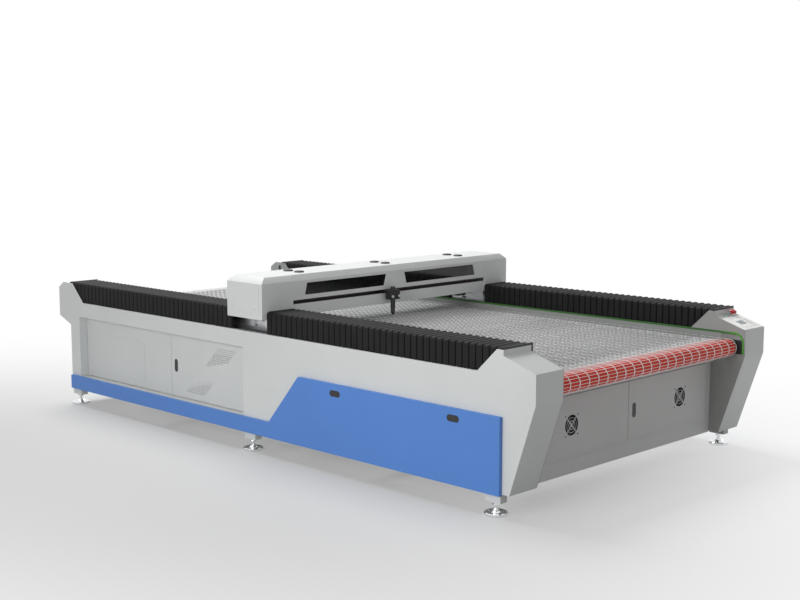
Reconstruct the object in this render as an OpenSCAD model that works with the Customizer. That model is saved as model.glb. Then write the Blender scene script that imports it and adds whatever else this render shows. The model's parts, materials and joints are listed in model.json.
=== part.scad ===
// Carbon dioxide laser cutter: gantry flat bed with a wire mesh conveyor.
// X runs across the machine, Y along it with the material mouth at the -Y end, Z up.
// The origin is on the floor under the middle of the machine. Sizes are in millimetres.

/* [Overall] */
// Length over the tips of the side panels
body_len = 4260; // [3550:10:5200]
// Clear width of the bed between the inner side walls
bed_w = 1708; // [1400:4:2200]
// Width of each side box, inner wall to outer panel
side_w = 214; // [210:2:258]
// Height of the lower edge of the panels
panel_z = 119; // [110:1:130]
// Height of the side walls under the bellows
wall_z = 717; // [700:1:735]
// Sheet metal thickness
sheet = 2; // [1.5:0.5:2.5]

/* [Corner housings] */
// How far the foot of the sloping front edge lies behind the nose
front_rake = 158; // [120:1:180]
// Height of the lower edge of the nose
nose_low_z = 593; // [570:1:600]
// Height of the upper edge of the nose
nose_high_z = 745; // [735:1:760]
// Horizontal run of the sloping console face
console_run = 203; // [190:1:230]
// Height of the upper edge of the console face
console_top_z = 811; // [800:1:820]
// Height of the front cheeks
cheek_top_z = 840; // [835:1:850]
// Length of the flat on top of the front cheeks
cheek_flat = 42; // [30:1:60]
// Distance from the nose to the foot of the cheek's rear slope
cheek_foot = 373; // [350:1:400]
// Height of the rear cheeks
rear_top_z = 845; // [835:1:855]
// Length of the flat on top of the rear cheeks
rear_flat = 113; // [90:1:130]
// Distance from the rear tip to the foot of the rear cheek's slope
rear_foot = 305; // [290:1:330]
// Length of the rear bevel
rear_bevel = 58; // [40:1:70]
// Height of the lower edge of the rear bevel
rear_high_z = 806; // [790:1:815]
// Height of the rear tail's lower corner
tail_z = 608; // [600:1:620]
// Height where the tail meets the upright rear edge
tail_cut_z = 554; // [540:1:570]
// Length of the tail over the upright rear edge
tail_run = 140; // [120:1:150]

/* [Frame and feet] */
// Frame tube width, across the machine
tube_x = 50; // [40:1:60]
// Foot stub length along the machine
stub_y = 100; // [80:1:110]
// Height of the foot stubs' lower end
stub_z = 69; // [60:1:80]
// Height of the lower rails and floor cross members
rail_h = 80; // [60:1:80]
// Width of a cross member along the machine
cross_y = 60; // [40:1:60]
// Height of the bed's cross tubes
bed_tube_h = 40; // [30:1:40]
// Width of the rail beams
beam_w = 120; // [100:1:120]
// Height of the rail beams
beam_h = 110; // [100:1:120]
// Frame tube wall
tube_wall = 4; // [3:0.5:5]
// Distance from the nose to the front feet
front_foot_in = 265; // [260:1:320]
// Distance from the rear tip to the rear feet
rear_foot_in = 195; // [190:1:260]
// Diameter of a foot pad
pad_d = 120; // [90:1:130]
// Diameter of a foot's threaded stud
stud_d = 20; // [16:1:24]

/* [Side doors and skirt] */
// Depth of the side recess
recess_d = 59; // [50:1:62]
// Distance from the middle foot to the front end of the recess
recess_gap = 55; // [55:1:80]
// Height of the recess's lower edge
recess_low = 203; // [203:1:215]
// Height of the recess
recess_h = 415; // [380:1:418]
// Gap round the doors and fixed panels
door_gap = 3; // [2:0.5:4]
// How far the skirt stands out from the side panel
skirt_out = 22; // [18:1:30]
// Height of the skirt's lower edge
skirt_z = 113; // [110:1:125]
// Height of the skirt's low strip
skirt_low = 205; // [190:1:220]
// Height of the skirt's raised part
skirt_high = 509; // [480:1:540]
// Horizontal run of the skirt's rising edge
skirt_slope = 266; // [240:1:300]
// Length of a paddle latch
latch_l = 84; // [70:1:90]
// Width of a paddle latch
latch_w = 36; // [30:1:40]
// Depth of a latch recess
latch_d = 14; // [12:1:16]

/* [Conveyor] */
// Radius of the belt's outside round the rollers
roller_r = 50; // [41:0.5:52]
// Thickness of the mesh belt
belt_t = 2.7; // [2:0.1:4]
// Gap between the mesh belt and the side walls
belt_side = 24; // [20:1:40]
// Distance from the nose to the front roller's axis
front_roller_in = 87; // [84:1:110]
// Distance from the rear tip to the rear roller's axis
rear_roller_in = 90; // [88:1:110]
// Height of the roller axes
roller_z = 641; // [640:1:645]
// Diameter of the roller shafts
shaft_d = 30; // [25:1:35]
// Radial running clearance of shafts and pins
running = 0.05; // [0.02:0.01:0.08]
// Clearance between faces that pass each other
clear = 0.3; // [0.3:0.1:0.5]
// Spacing of the bed slats
slat_pitch = 77; // [60:1:120]

/* [Gantry] */
// Length of the gantry along the machine
gantry_y = 323; // [300:1:390]
// Distance from the middle of the machine to the gantry's front face at rest
gantry_front = -127; // [-300:1:100]
// How far each end box stands past the outer panel
gantry_over = 25; // [10:1:30]
// Height of the underside of the end boxes
gantry_z = 800; // [795:1:805]
// Height of the top of the gantry
gantry_top = 1045; // [1040:1:1080]
// Height of the bevels round the top
bevel_h = 35; // [25:1:45]
// Width of the bevel at the ends
bevel_x = 40; // [20:1:50]
// Width of the bevel at the front and back
bevel_y = 27; // [20:1:35]
// Height of the slot that the head's arm comes out of
slot_h = 24; // [24:1:30]
// Height of the beam
x_beam_h = 67; // [60:1:70]
// Outside diameter of the laser tube
laser_d = 80; // [60:1:80]

/* [Head] */
// Place of the head across the bed at rest
head_x = -60; // [-300:1:300]
// Height of the nozzle tip at rest
nozzle_z = 733; // [731:1:745]
// Diameter of the lens tube
lens_d = 30; // [24:1:32]

/* [Bellows] */
// Gap between the bellows and each face of the side box
bellows_in = 6; // [5:1:12]
// Height of the bellows
bellows_h = 133; // [125:1:135]
// Length of one pleat
pleat = 45; // [30:1:60]
// Depth of the grooves between the pleats
pleat_d = 16; // [10:1:18]
// Width of a groove at its mouth
groove_w = 9; // [6:0.5:14]

/* [Front end] */
// Distance from the nose to the front panel
front_panel_in = 223.5; // [220:0.5:240]
// Depth of a front door
front_door_t = 13; // [12:1:16]
// Height of the front doors' lower edge
front_door_z = 205; // [200:1:220]
// Height of the front doors
front_door_h = 332; // [300:1:332]
// Gap between the outer edge of a front door and the inner wall
front_door_side = 70; // [60:1:90]
// Place of the fans in the front doors, from the middle
fan_x = 508; // [400:1:520]
// Height of the fans
fan_z = 377; // [350:1:390]
// Side of a fan housing
fan_size = 119; // [92:1:120]
// Depth of a fan housing
fan_t = 38; // [25:1:38]

/* [Hidden] */
$fn = 48;

// Side planes and ends
xi = bed_w / 2;
xo = xi + side_w;
yf = -body_len / 2;
yr = body_len / 2;

// Feet and frame stations
foot_x = xo - sheet - tube_x / 2;
foot_front = yf + front_foot_in;
foot_rear = yr - rear_foot_in;
foot_mid = (foot_front + foot_rear) / 2;
foot_ys = [foot_front, foot_mid, foot_rear];
stations = [foot_front, (foot_front + foot_mid) / 2, foot_mid, (foot_mid + foot_rear) / 2, foot_rear];
rail_z = panel_z + sheet;
beam_x = xi + sheet + 12;
beam_top = wall_z - sheet - 1;
beam_z = beam_top - beam_h;
post_x = beam_x + 35;

// Outline of a side box: the front edge, the front cheek, the wall, the rear cheek, the rear edge
console_top_y = yf + console_run;
rear_lip = 80;
front_edge = [
    [yf + front_rake, panel_z], [yf, nose_low_z], [yf, nose_high_z],
    [console_top_y, console_top_z], [console_top_y, cheek_top_z]
];
rear_edge = [
    [yr - rear_bevel - rear_lip, rear_top_z], [yr - rear_bevel, rear_top_z], [yr, rear_high_z],
    [yr, tail_z], [yr - tail_run, tail_cut_z], [yr - tail_run, panel_z]
];
cheeks = [
    [console_top_y + cheek_flat, cheek_top_z], [yf + cheek_foot, wall_z],
    [yr - rear_foot, wall_z], [yr - rear_bevel - rear_flat, rear_top_z]
];
rear_edge_outer = [for (i = [1 : len(rear_edge) - 1]) rear_edge[i]];
side_outline = concat(front_edge, cheeks, rear_edge_outer);

// Side recess
recess_front = foot_mid + recess_gap;
recess_rear = foot_rear - stub_y / 2 - 5;
recess_top = recess_low + recess_h;
door_x = xo - recess_d;
door_split = (recess_front + recess_rear) / 2 - 92;
jamb = 16;

// Conveyor
front_roller_y = yf + front_roller_in;
rear_roller_y = yr - rear_roller_in;
drum_r = roller_r - belt_t - clear;
belt_x = xi - belt_side;
bed_z = roller_z + drum_r;
bearing_t = 8;
boss_t = 20;
motor_r = 42;

// Gantry
gy0 = gantry_front;
gy1 = gantry_front + gantry_y;
gx = xo + gantry_over;
beam0_z = gantry_z + 5;
beam1_z = beam0_z + x_beam_h;
cover_z = beam1_z + slot_h;
bevel_z = gantry_top - bevel_h;
module_x = beam_x + beam_w / 2;
module_w = 80;
module_top = beam_top + 56;

// Front end
panel_y = yf + front_panel_in;
door_back = panel_y - 2.5;
door_face = door_back - front_door_t;
front_door_x = xi - front_door_side;
lip_out = 18;
lip_top = roller_z - roller_r - 5;

// Tilt of the console face
slope_deg = atan2(console_top_z - nose_high_z, console_run);

// ---- helpers ----

// Extrudes an outline drawn in Y and Z along X
module along_x(x0, x1) {
    translate([x0, 0, 0])
        rotate([90, 0, 90])
            linear_extrude(x1 - x0)
                children();
}

// Extrudes an outline drawn in X and Z along Y
module along_y(y0, y1) {
    translate([0, y1, 0])
        rotate([90, 0, 0])
            linear_extrude(y1 - y0)
                children();
}

// A box between two opposite corners
module block(lo, hi) {
    translate(lo)
        cube(hi - lo);
}

// The same thing on both sides of the machine
module both_sides() {
    children();
    mirror([1, 0, 0])
        children();
}

// A cylinder along X, Y or Z, from a point
module rod_x(at, r, l) {
    translate(at)
        rotate([0, 90, 0])
            cylinder(r = r, h = l);
}

module rod_y(at, r, l) {
    translate(at)
        rotate([-90, 0, 0])
            cylinder(r = r, h = l);
}

module rod_z(at, r, l) {
    translate(at)
        cylinder(r = r, h = l);
}

// A rectangle with round corners
module round_rect(w, h, r) {
    translate([r, 0])
        square([w - 2 * r, h]);
    translate([0, r])
        square([w, h - 2 * r]);
    for (x = [r, w - r], y = [r, h - r])
        translate([x, y])
            circle(r = r);
}

// An oblong with round ends, centred, its long side along the first axis
module oblong(l, w) {
    square([l - w, w], center = true);
    for (x = [w - l, l - w])
        translate([x / 2, 0])
            circle(d = w);
}

// Unit vector, left normal and mitred offset of an open chain of points
function unit(v) = v / norm(v);
function left(v) = [-v[1], v[0]];
function mitre(p, i, t) =
    let (
        n = len(p),
        a = unit(p[min(i + 1, n - 1)] - p[min(i, n - 2)]),
        b = unit(p[max(i, 1)] - p[max(i - 1, 0)]),
        m = left(a) + left(b)
    )
    p[i] + m * t * 2 / (m * m);
function strip(p, t) = concat(p, [for (i = [len(p) - 1 : -1 : 0]) mitre(p, i, t)]);

// A rectangular tube along X, Y or Z between two corners
module tube(lo, hi, axis) {
    wall = [for (i = [0 : 2]) i == axis ? -1 : tube_wall];
    difference() {
        block(lo, hi);
        block(lo + wall, hi - wall);
    }
}

// Places children on the console face: X across, Y up the slope from the nose, Z out of it
module on_console() {
    translate([0, yf, nose_high_z])
        rotate([slope_deg, 0, 0])
            children();
}

// ---- frame ----

module frame_rails() {
    color("dimgray")
        both_sides() {
            tube([foot_x - tube_x / 2, foot_front - stub_y / 2, rail_z],
                 [foot_x + tube_x / 2, foot_rear + stub_y / 2, rail_z + rail_h], 1);
            tube([beam_x, foot_front - stub_y / 2 + 20, beam_z],
                 [beam_x + beam_w, foot_rear + stub_y / 2 - 20, beam_top], 1);
        }
}

module frame_posts() {
    foot_plate_t = 6;
    color("dimgray")
        both_sides() {
            for (y = foot_ys) {
                tube([foot_x - tube_x / 2, y - stub_y / 2, stub_z],
                     [foot_x + tube_x / 2, y + stub_y / 2, rail_z], 2);
                block([foot_x - tube_x / 2, y - stub_y / 2, stub_z],
                      [foot_x + tube_x / 2, y + stub_y / 2, stub_z + foot_plate_t]);
            }
            for (y = stations)
                tube([post_x, y - cross_y / 2, rail_z + rail_h],
                     [post_x + tube_x, y + cross_y / 2, beam_z], 2);
        }
}

module cross_members() {
    half = foot_x - tube_x / 2;
    color("dimgray")
        for (y = stations) {
            tube([-half, y - cross_y / 2, rail_z], [half, y + cross_y / 2, rail_z + rail_h], 0);
            tube([-beam_x, y - cross_y / 2, beam_z],
                 [beam_x, y + cross_y / 2, beam_z + bed_tube_h], 0);
        }
}

// Turned pad with a raised rim and a dished top round the stud's socket
module foot_pads() {
    pad_r = pad_d / 2;
    color("silver")
        for (x = [-foot_x, foot_x], y = foot_ys)
            translate([x, y, 0])
                rotate_extrude()
                    polygon([
                        [0, 0], [pad_r - 3, 0], [pad_r, 3], [pad_r, 15], [pad_r - 3, 18],
                        [pad_r - 14, 18], [pad_r - 20, 14], [stud_d / 2 + 12, 14],
                        [stud_d / 2 + 8, 22], [stud_d / 2 + 8, 32], [0, 32]
                    ]);
}

// Threaded stud with its lock nut under the foot stub
module foot_studs() {
    nut_h = 12;
    color("silver")
        for (x = [-foot_x, foot_x], y = foot_ys)
            translate([x, y, 0]) {
                translate([0, 0, 32])
                    cylinder(d = stud_d, h = stub_z - 32);
                translate([0, 0, stub_z - nut_h])
                    cylinder(d = stud_d * 1.7, h = nut_h, $fn = 6);
                translate([0, 0, stub_z - nut_h - 2])
                    cylinder(d = stud_d * 1.9, h = 2);
            }
}

// ---- side panels ----

// Outer sheet of one side box, with a flange under the bellows
module side_sheet() {
    along_x(xo - sheet, xo)
        polygon(side_outline);
    block([xo - 28, yf + cheek_foot, wall_z - sheet], [xo, yr - rear_foot, wall_z]);
}

// Walls of the side recess, folded in, and the jamb that its panels close on
module recess_walls() {
    along_x(door_x - 14, xo)
        difference() {
            translate([recess_front - sheet, recess_low - sheet])
                square([recess_rear - recess_front + 2 * sheet, recess_h + 2 * sheet]);
            translate([recess_front, recess_low])
                square([recess_rear - recess_front, recess_h]);
        }
    along_x(door_x - 16, door_x - 14)
        difference() {
            translate([recess_front - sheet, recess_low - sheet])
                square([recess_rear - recess_front + 2 * sheet, recess_h + 2 * sheet]);
            translate([recess_front + jamb, recess_low + jamb])
                square([door_split - recess_front - 1.5 * jamb, recess_h - 2 * jamb]);
            translate([door_split + jamb / 2, recess_low + jamb])
                square([recess_rear - door_split - 1.5 * jamb, recess_h - 2 * jamb]);
        }
}

module side_panel() {
    difference() {
        side_sheet();
        block([xo - sheet - 1, recess_front, recess_low], [xo + 1, recess_rear, recess_top]);
    }
    recess_walls();
}

module side_panels() {
    color("gainsboro")
        both_sides()
            side_panel();
}

// Cut-out of an inner wall round a roller, with one large round corner
cut_reach = roller_r + 20;
cut_top = wall_z + 1;
cut_r = 50;
front_cut_low = roller_z - 39;
rear_cut_low = roller_z - 22;

module roller_cut(low, grow) {
    reach = cut_reach + grow;
    difference() {
        translate([-reach, low - grow])
            square([2 * reach, cut_top - low + 2 * grow]);
        translate([-reach - 1, cut_top - cut_r])
            square([cut_r + grow + 1, cut_r + grow + 1]);
    }
    translate([cut_r - cut_reach, cut_top - cut_r])
        circle(r = cut_r + grow);
}

module both_roller_cuts(grow) {
    translate([front_roller_y, 0])
        roller_cut(front_cut_low, grow);
    translate([rear_roller_y, 0])
        mirror([1, 0])
            roller_cut(rear_cut_low, grow);
}

// Inner sheet of each side box: a strip beside the belt, and a full cheek at each end
module inner_walls() {
    strip_z = beam_z + bed_tube_h + 4;
    cheek_in = panel_y + 10;
    tail_in = yr - tail_run - 22;
    color("gainsboro")
        both_sides() {
            along_x(xi, xi + sheet)
                difference() {
                    polygon(side_outline);
                    polygon([
                        [cheek_in, panel_z - 1], [tail_in, panel_z - 1],
                        [tail_in, strip_z], [cheek_in, strip_z]
                    ]);
                    both_roller_cuts(0);
                }
            block([xi, yf + cheek_foot, wall_z - sheet], [xi + 24, yr - rear_foot, wall_z]);
        }
}

// Folded cover over the front of each side box, up to the bellows bracket
module front_corner_covers() {
    color("gainsboro")
        both_sides()
            along_x(xi + sheet, xo - sheet)
                polygon(strip(front_edge, -sheet));
}

module rear_corner_covers() {
    color("gainsboro")
        both_sides()
            along_x(xi + sheet, xo - sheet)
                polygon(strip(rear_edge, -sheet));
}

// Soft green edging along the top of each inner wall and round its cut-outs
module edge_trims() {
    trim_h = 10;
    trim_x = 3;
    low = front_cut_low - trim_h - 1;
    color("yellowgreen")
        both_sides()
            along_x(xi - trim_x, xi)
                difference() {
                    union() {
                        both_roller_cuts(trim_h);
                        translate([front_roller_y, cut_top - trim_h])
                            square([rear_roller_y - front_roller_y, 2 * trim_h]);
                    }
                    both_roller_cuts(0);
                    translate([front_roller_y, low])
                        square([rear_roller_y - front_roller_y, cut_top - 1 - low]);
                    translate([yf, low])
                        square([body_len / 2, front_cut_low - low]);
                    translate([0, low])
                        square([body_len / 2, rear_cut_low - low]);
                }
}

// ---- skirt and side recess panels ----

skirt_front = yf + 205;
skirt_rear = yr - 158;
skirt_rise = foot_mid - 200;
skirt_top_y = skirt_rise - skirt_slope;
latch_xy = [[foot_mid - 775, skirt_high - 52], [foot_front + 248, skirt_high - 52]];

module skirt_outline() {
    polygon([
        [skirt_front, skirt_z], [skirt_rear, skirt_z], [skirt_rear, skirt_low],
        [skirt_rise, skirt_low], [skirt_top_y, skirt_high], [skirt_front, skirt_high]
    ]);
}

// A folded tray that stands out from the side panel
module skirt_tray() {
    difference() {
        along_x(xo, xo + skirt_out)
            skirt_outline();
        intersection() {
            block([xo - 1, yf, 0], [xo + skirt_out - sheet, yr, wall_z]);
            along_x(xo - 1, xo + skirt_out)
                skirt_inner();
        }
    }
}

module skirt_inner() {
    lean = sheet * 0.4;
    polygon([
        [skirt_front + sheet, skirt_z + sheet], [skirt_rear - sheet, skirt_z + sheet],
        [skirt_rear - sheet, skirt_low - sheet], [skirt_rise - lean, skirt_low - sheet],
        [skirt_top_y - lean, skirt_high - sheet], [skirt_front + sheet, skirt_high - sheet]
    ]);
}

// Pressed cup for a paddle latch: mouth at the origin facing +Z, long side along X
latch_pin_r = 2.5;
latch_pin_x = latch_l / 2 - latch_w / 2;
latch_pin_z = -4;

module latch_cup_outside() {
    translate([0, 0, -latch_d])
        linear_extrude(latch_d)
            oblong(latch_l + 2 * sheet, latch_w + 2 * sheet);
}

module latch_cup_inside() {
    translate([0, 0, sheet - latch_d])
        linear_extrude(latch_d)
            oblong(latch_l, latch_w);
    translate([latch_pin_x, 0, latch_pin_z])
        rotate([90, 0, 0])
            cylinder(r = latch_pin_r + running, h = latch_w + 6 * sheet, center = true);
}

// Flush paddle with its pivot pin, at the cup's origin
module paddle() {
    gap = 0.8;
    plate_t = 3;
    lip_w = latch_w - 12;
    translate([0, 0, -plate_t - 0.2])
        linear_extrude(plate_t)
            oblong(latch_l - 2 * gap, latch_w - 2 * gap);
    translate([latch_pin_x, 0, latch_pin_z])
        rotate([90, 0, 0])
            cylinder(r = latch_pin_r, h = latch_w + sheet, center = true);
    translate([latch_w / 2 - latch_l / 2 - 4, -lip_w / 2, -plate_t - 2.5])
        cube([4, lip_w, 3]);
}

// Puts a latch on the left skirt, its long side along the machine
module on_left_skirt(yz) {
    translate([-xo - skirt_out, yz[0], yz[1]])
        rotate([0, -90, 0])
            rotate([0, 0, 90])
                children();
}

// Puts a latch upright on the side door, beside the gap
side_latch_at = [door_split - 51, 404];

module on_side_door() {
    translate([-door_x, side_latch_at[0], side_latch_at[1]])
        rotate([0, -90, 0])
            children();
}

// Puts a latch upright on the right front door
front_latch_at = [54, 370];

module on_front_door() {
    translate([front_latch_at[0], door_face, front_latch_at[1]])
        rotate([90, 0, 0])
            rotate([0, 0, 90])
                children();
}

module skirts() {
    color("royalblue") {
        skirt_tray();
        difference() {
            union() {
                mirror([1, 0, 0])
                    skirt_tray();
                for (at = latch_xy)
                    on_left_skirt(at)
                        latch_cup_outside();
            }
            for (at = latch_xy)
                on_left_skirt(at)
                    latch_cup_inside();
        }
    }
}

module skirt_front_paddle() {
    color("black")
        on_left_skirt(latch_xy[1])
            paddle();
}

module skirt_rear_paddle() {
    color("black")
        on_left_skirt(latch_xy[0])
            paddle();
}

// A folded panel in the recess, from one place along the machine to another
module recess_leaf(y0, y1) {
    leaf_t = 14;
    z0 = recess_low + door_gap;
    z1 = recess_top - door_gap;
    difference() {
        block([door_x - leaf_t, y0, z0], [door_x, y1, z1]);
        block([door_x - leaf_t - 1, y0 + sheet, z0 + sheet], [door_x - sheet, y1 - sheet, z1 - sheet]);
    }
}

access_y0 = foot_rear - 745;
access_y1 = foot_rear - 339;
access_z0 = recess_low + 49;
access_z1 = recess_top - 102;

module recess_panels() {
    hatch_edge = 25;
    color("gainsboro") {
        mirror([1, 0, 0])
            difference() {
                recess_leaf(door_split + door_gap / 2, recess_rear - door_gap);
                block([door_x - 5, access_y0 + hatch_edge, access_z0 + hatch_edge],
                      [door_x + 1, access_y1 - hatch_edge, access_z1 - hatch_edge]);
            }
        recess_leaf(recess_front + door_gap, door_split - door_gap / 2);
        recess_leaf(door_split + door_gap / 2, recess_rear - door_gap);
    }
}

// Screwed cover over the hatch in the fixed panel
module access_cover() {
    in = 14;
    color("gainsboro")
        mirror([1, 0, 0])
            difference() {
                block([door_x, access_y0, access_z0], [door_x + 2, access_y1, access_z1]);
                for (y = [access_y0 + in, access_y1 - in], z = [access_z0 + in, access_z1 - in])
                    rod_x([door_x + 1, y, z], 5, 3);
            }
}

// One leaning field of round perforations, with its rows stepped at 45 degrees
hole_pitch = 15;
hole_row = 13;

module perforations(y0, z0, cols, rows) {
    for (i = [0 : cols - 1], j = [0 : rows - 1])
        translate([y0 + i * hole_pitch - j * hole_row, z0 + j * hole_row])
            circle(r = 4, $fn = 6);
}

hinge_r = 5;
hinge_pin_r = 2.5;
hinge_h = 30;

// Female half of a lift-off hinge: a bored knuckle with a tab
module knuckle(at, tab) {
    difference() {
        union() {
            rod_z([at[0], at[1], at[2]], hinge_r, hinge_h);
            block([at[0], at[1], at[2]] + tab[0], [at[0], at[1], at[2] + hinge_h] + tab[1]);
        }
        rod_z([at[0], at[1], at[2] - 1], hinge_pin_r + running, hinge_h + 2);
    }
}

// Male half: a knuckle with the pin standing out of its top
module hinge_post(at, tab) {
    low = at[2] - hinge_h - 1;
    rod_z([at[0], at[1], low], hinge_r, hinge_h);
    rod_z([at[0], at[1], low], hinge_pin_r, 2 * hinge_h - 3);
    block([at[0], at[1], low] + tab[0], [at[0], at[1], low + hinge_h] + tab[1]);
}

side_hinge = [-door_x - hinge_r, recess_front + hinge_r + 1];
side_hinge_zs = [recess_low + 80, recess_top - 80];
front_hinge = [front_door_x + hinge_r, door_back - hinge_r];
front_hinge_zs = [front_door_z + 70, front_door_z + front_door_h - 70];

module hinge_posts() {
    color("dimgray") {
        for (z = side_hinge_zs)
            hinge_post([side_hinge[0], side_hinge[1], z], [[-1.2, -hinge_r - 1, 0], [1.2, 0, 0]]);
        both_sides()
            for (z = front_hinge_zs)
                hinge_post([front_hinge[0], front_hinge[1], z],
                           [[-1.2, 0, 0], [1.2, panel_y - front_hinge[1], 0]]);
    }
}

module side_door() {
    first = recess_front + hinge_r * 2 + 2.5;
    leaf_w = door_split - recess_front;
    color("gainsboro") {
        difference() {
            union() {
                mirror([1, 0, 0])
                    recess_leaf(first, door_split - door_gap / 2);
                on_side_door()
                    latch_cup_outside();
            }
            on_side_door()
                latch_cup_inside();
            along_x(-door_x - 1, -door_x + sheet + 1) {
                perforations(recess_front + leaf_w * 0.328, 445, 12, 10);
                perforations(recess_front + leaf_w * 0.572, 253, 13, 8);
            }
        }
        for (z = side_hinge_zs)
            knuckle([side_hinge[0], side_hinge[1], z],
                    [[2, 1.2, 0], [hinge_r + sheet, hinge_r + 4, 0]]);
    }
}

module side_door_paddle() {
    color("black")
        on_side_door()
            paddle();
}

// ---- front and rear ends ----

module front_panel() {
    open_x = front_door_x - 24;
    color("silver")
        difference() {
            along_x(-xi, xi)
                polygon(strip([
                    [panel_y, skirt_z], [panel_y, front_door_z + front_door_h + 5],
                    [panel_y - lip_out, front_door_z + front_door_h + 5],
                    [panel_y - lip_out, lip_top], [panel_y + 20, lip_top]
                ], -sheet));
            both_sides()
                block([28, panel_y - 1, front_door_z + 20],
                      [open_x, panel_y + sheet + 1, front_door_z + front_door_h - 20]);
        }
}

rear_panel_y = yr - tail_run - 12;
spigot_r = 100;
spigot_z = 400;
spigot_y = 70;
// Raised collar of the outlet pipe, and how far it stands out past the rear panel
collar = 3;
collar_out = 1;

module rear_panel() {
    color("silver")
        difference() {
            block([-xi, rear_panel_y, panel_z], [xi, rear_panel_y + sheet, lip_top]);
            rod_y([0, rear_panel_y - 1, spigot_z], spigot_r + collar + clear, sheet + 2);
        }
}

// Sheet hopper under the belt's return run, with a round outlet pipe to the rear
module exhaust_hopper() {
    top = lip_top - 6;
    low = 290;
    y0 = foot_mid - 20;
    y1 = rear_panel_y - 260;
    half = xi - 150;
    bar = 20;
    collar_y = rear_panel_y + sheet + collar_out;
    color("lightgray") {
        for (y = [foot_mid, stations[3]])
            block([-post_x, y - bar, top - 5], [post_x, y + bar, top]);
        difference() {
            union() {
                intersection() {
                    along_y(y0, y1)
                        polygon([[-half, top], [half, top], [170, low], [-170, low]]);
                    along_x(-xi, xi)
                        polygon([[y0, top], [y1, top], [y1, low], [y1 - 420, low]]);
                }
                rod_y([0, y1 - 40, spigot_z], spigot_r + collar, collar_y - y1 + 40);
                rod_y([0, collar_y - 1, spigot_z], spigot_r, spigot_y - collar_out + 1);
            }
            intersection() {
                along_y(y0 - 1, y1 - sheet)
                    polygon([
                        [-half + sheet, top + 1], [half - sheet, top + 1],
                        [170 - sheet, low + sheet], [-170 + sheet, low + sheet]
                    ]);
                along_x(-xi, xi)
                    polygon([
                        [y0 + 2 * sheet, top + 1], [y1, top + 1],
                        [y1, low + sheet], [y1 - 420 + sheet, low + sheet]
                    ]);
            }
            rod_y([0, y1 - 60, spigot_z], spigot_r - sheet, rear_panel_y + spigot_y - y1 + 80);
        }
    }
}

// Shelf and upright behind the front doors, with four drives in finned cases
module electronics_plate() {
    plate_t = 3;
    y0 = foot_front - cross_y / 2;
    y1 = y0 + 255;
    z0 = rail_z + rail_h;
    half = xi - 94;
    color("lightsteelblue") {
        block([-half, y0, z0], [half, y1, z0 + plate_t]);
        block([-half, y1 - plate_t, z0], [half, y1, lip_top - 20]);
    }
    color("dimgray")
        for (x = [-570 : 320 : 390])
            finned_case([x, y1 - plate_t - 90, z0 + 70], [180, 90, 220], 6);
}

// A case with a row of slots between upright fins on its front
module finned_case(at, size, fins) {
    step = size[0] / fins;
    difference() {
        block(at, at + size);
        for (k = [0 : fins - 1])
            block(at + [step * (k + 0.3), -1, 15], at + [step * (k + 0.7), 25, size[2] - 15]);
    }
}

// Axial fan housing: square frame, round duct, four struts and a hub plate
fan_duct_r = fan_size / 2 - 4.5;
fan_hub_r = fan_size * 0.23;
fan_screw = 52.5 * fan_size / 119;
fan_screw_r = 2.2;
fan_y = door_face + sheet;

module fan_housing(x) {
    strut_t = 4;
    half = fan_size / 2;
    color("black")
        translate([x, fan_y, fan_z])
            difference() {
                union() {
                    difference() {
                        block([-half, 0, -half], [half, fan_t, half]);
                        rod_y([0, -1, 0], fan_duct_r, fan_t + 2);
                    }
                    rod_y([0, 0, 0], fan_hub_r, strut_t);
                    for (a = [45 : 90 : 315])
                        rotate([0, a, 0])
                            block([-3, 0.5, fan_hub_r - 2], [3, strut_t - 0.5, fan_duct_r + 2]);
                }
                rod_y([0, -1, 0], 3 + running, strut_t + 2);
                for (sx = [-fan_screw, fan_screw], sz = [-fan_screw, fan_screw])
                    rod_y([sx, -1, sz], fan_screw_r, fan_t + 2);
            }
}

module left_fan_housing() {
    fan_housing(-fan_x);
}

module right_fan_housing() {
    fan_housing(fan_x);
}

// Rotor: a cup-shaped hub on a spindle, with seven pitched blades
module fan_rotor(x) {
    blade_w = 22;
    color("dimgray")
        translate([x, fan_y + 6, fan_z]) {
            rod_y([0, 0, 0], fan_hub_r - 1, blade_w + 4);
            rod_y([0, -5, 0], 3, 8);
            for (a = [0 : 360 / 7 : 359])
                rotate([0, a, 0])
                    translate([0, blade_w / 2 + 2, fan_hub_r - 4])
                        rotate([0, 0, 38])
                            block([-15, -1, 0], [15, 1, fan_duct_r - fan_hub_r + 1]);
        }
}

module left_fan_rotor() {
    fan_rotor(-fan_x);
}

module right_fan_rotor() {
    fan_rotor(fan_x);
}

// Punched finger guard: ring-shaped slots crossed by two diagonal bars
guard_bar = 6;
guard_ring = 2.5;
guard_hub = 8;

module guard_slots() {
    rings = 3;
    step = (fan_duct_r - guard_hub + guard_ring) / rings;
    difference() {
        for (i = [0 : rings - 1])
            difference() {
                rod_y([0, -1, 0], guard_hub + (i + 1) * step - guard_ring, sheet + 2);
                rod_y([0, -2, 0], guard_hub + i * step, sheet + 4);
            }
        for (a = [45, 135])
            rotate([0, a, 0])
                block([-fan_duct_r - 1, -3, -guard_bar / 2], [fan_duct_r + 1, sheet + 3, guard_bar / 2]);
    }
}

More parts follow.
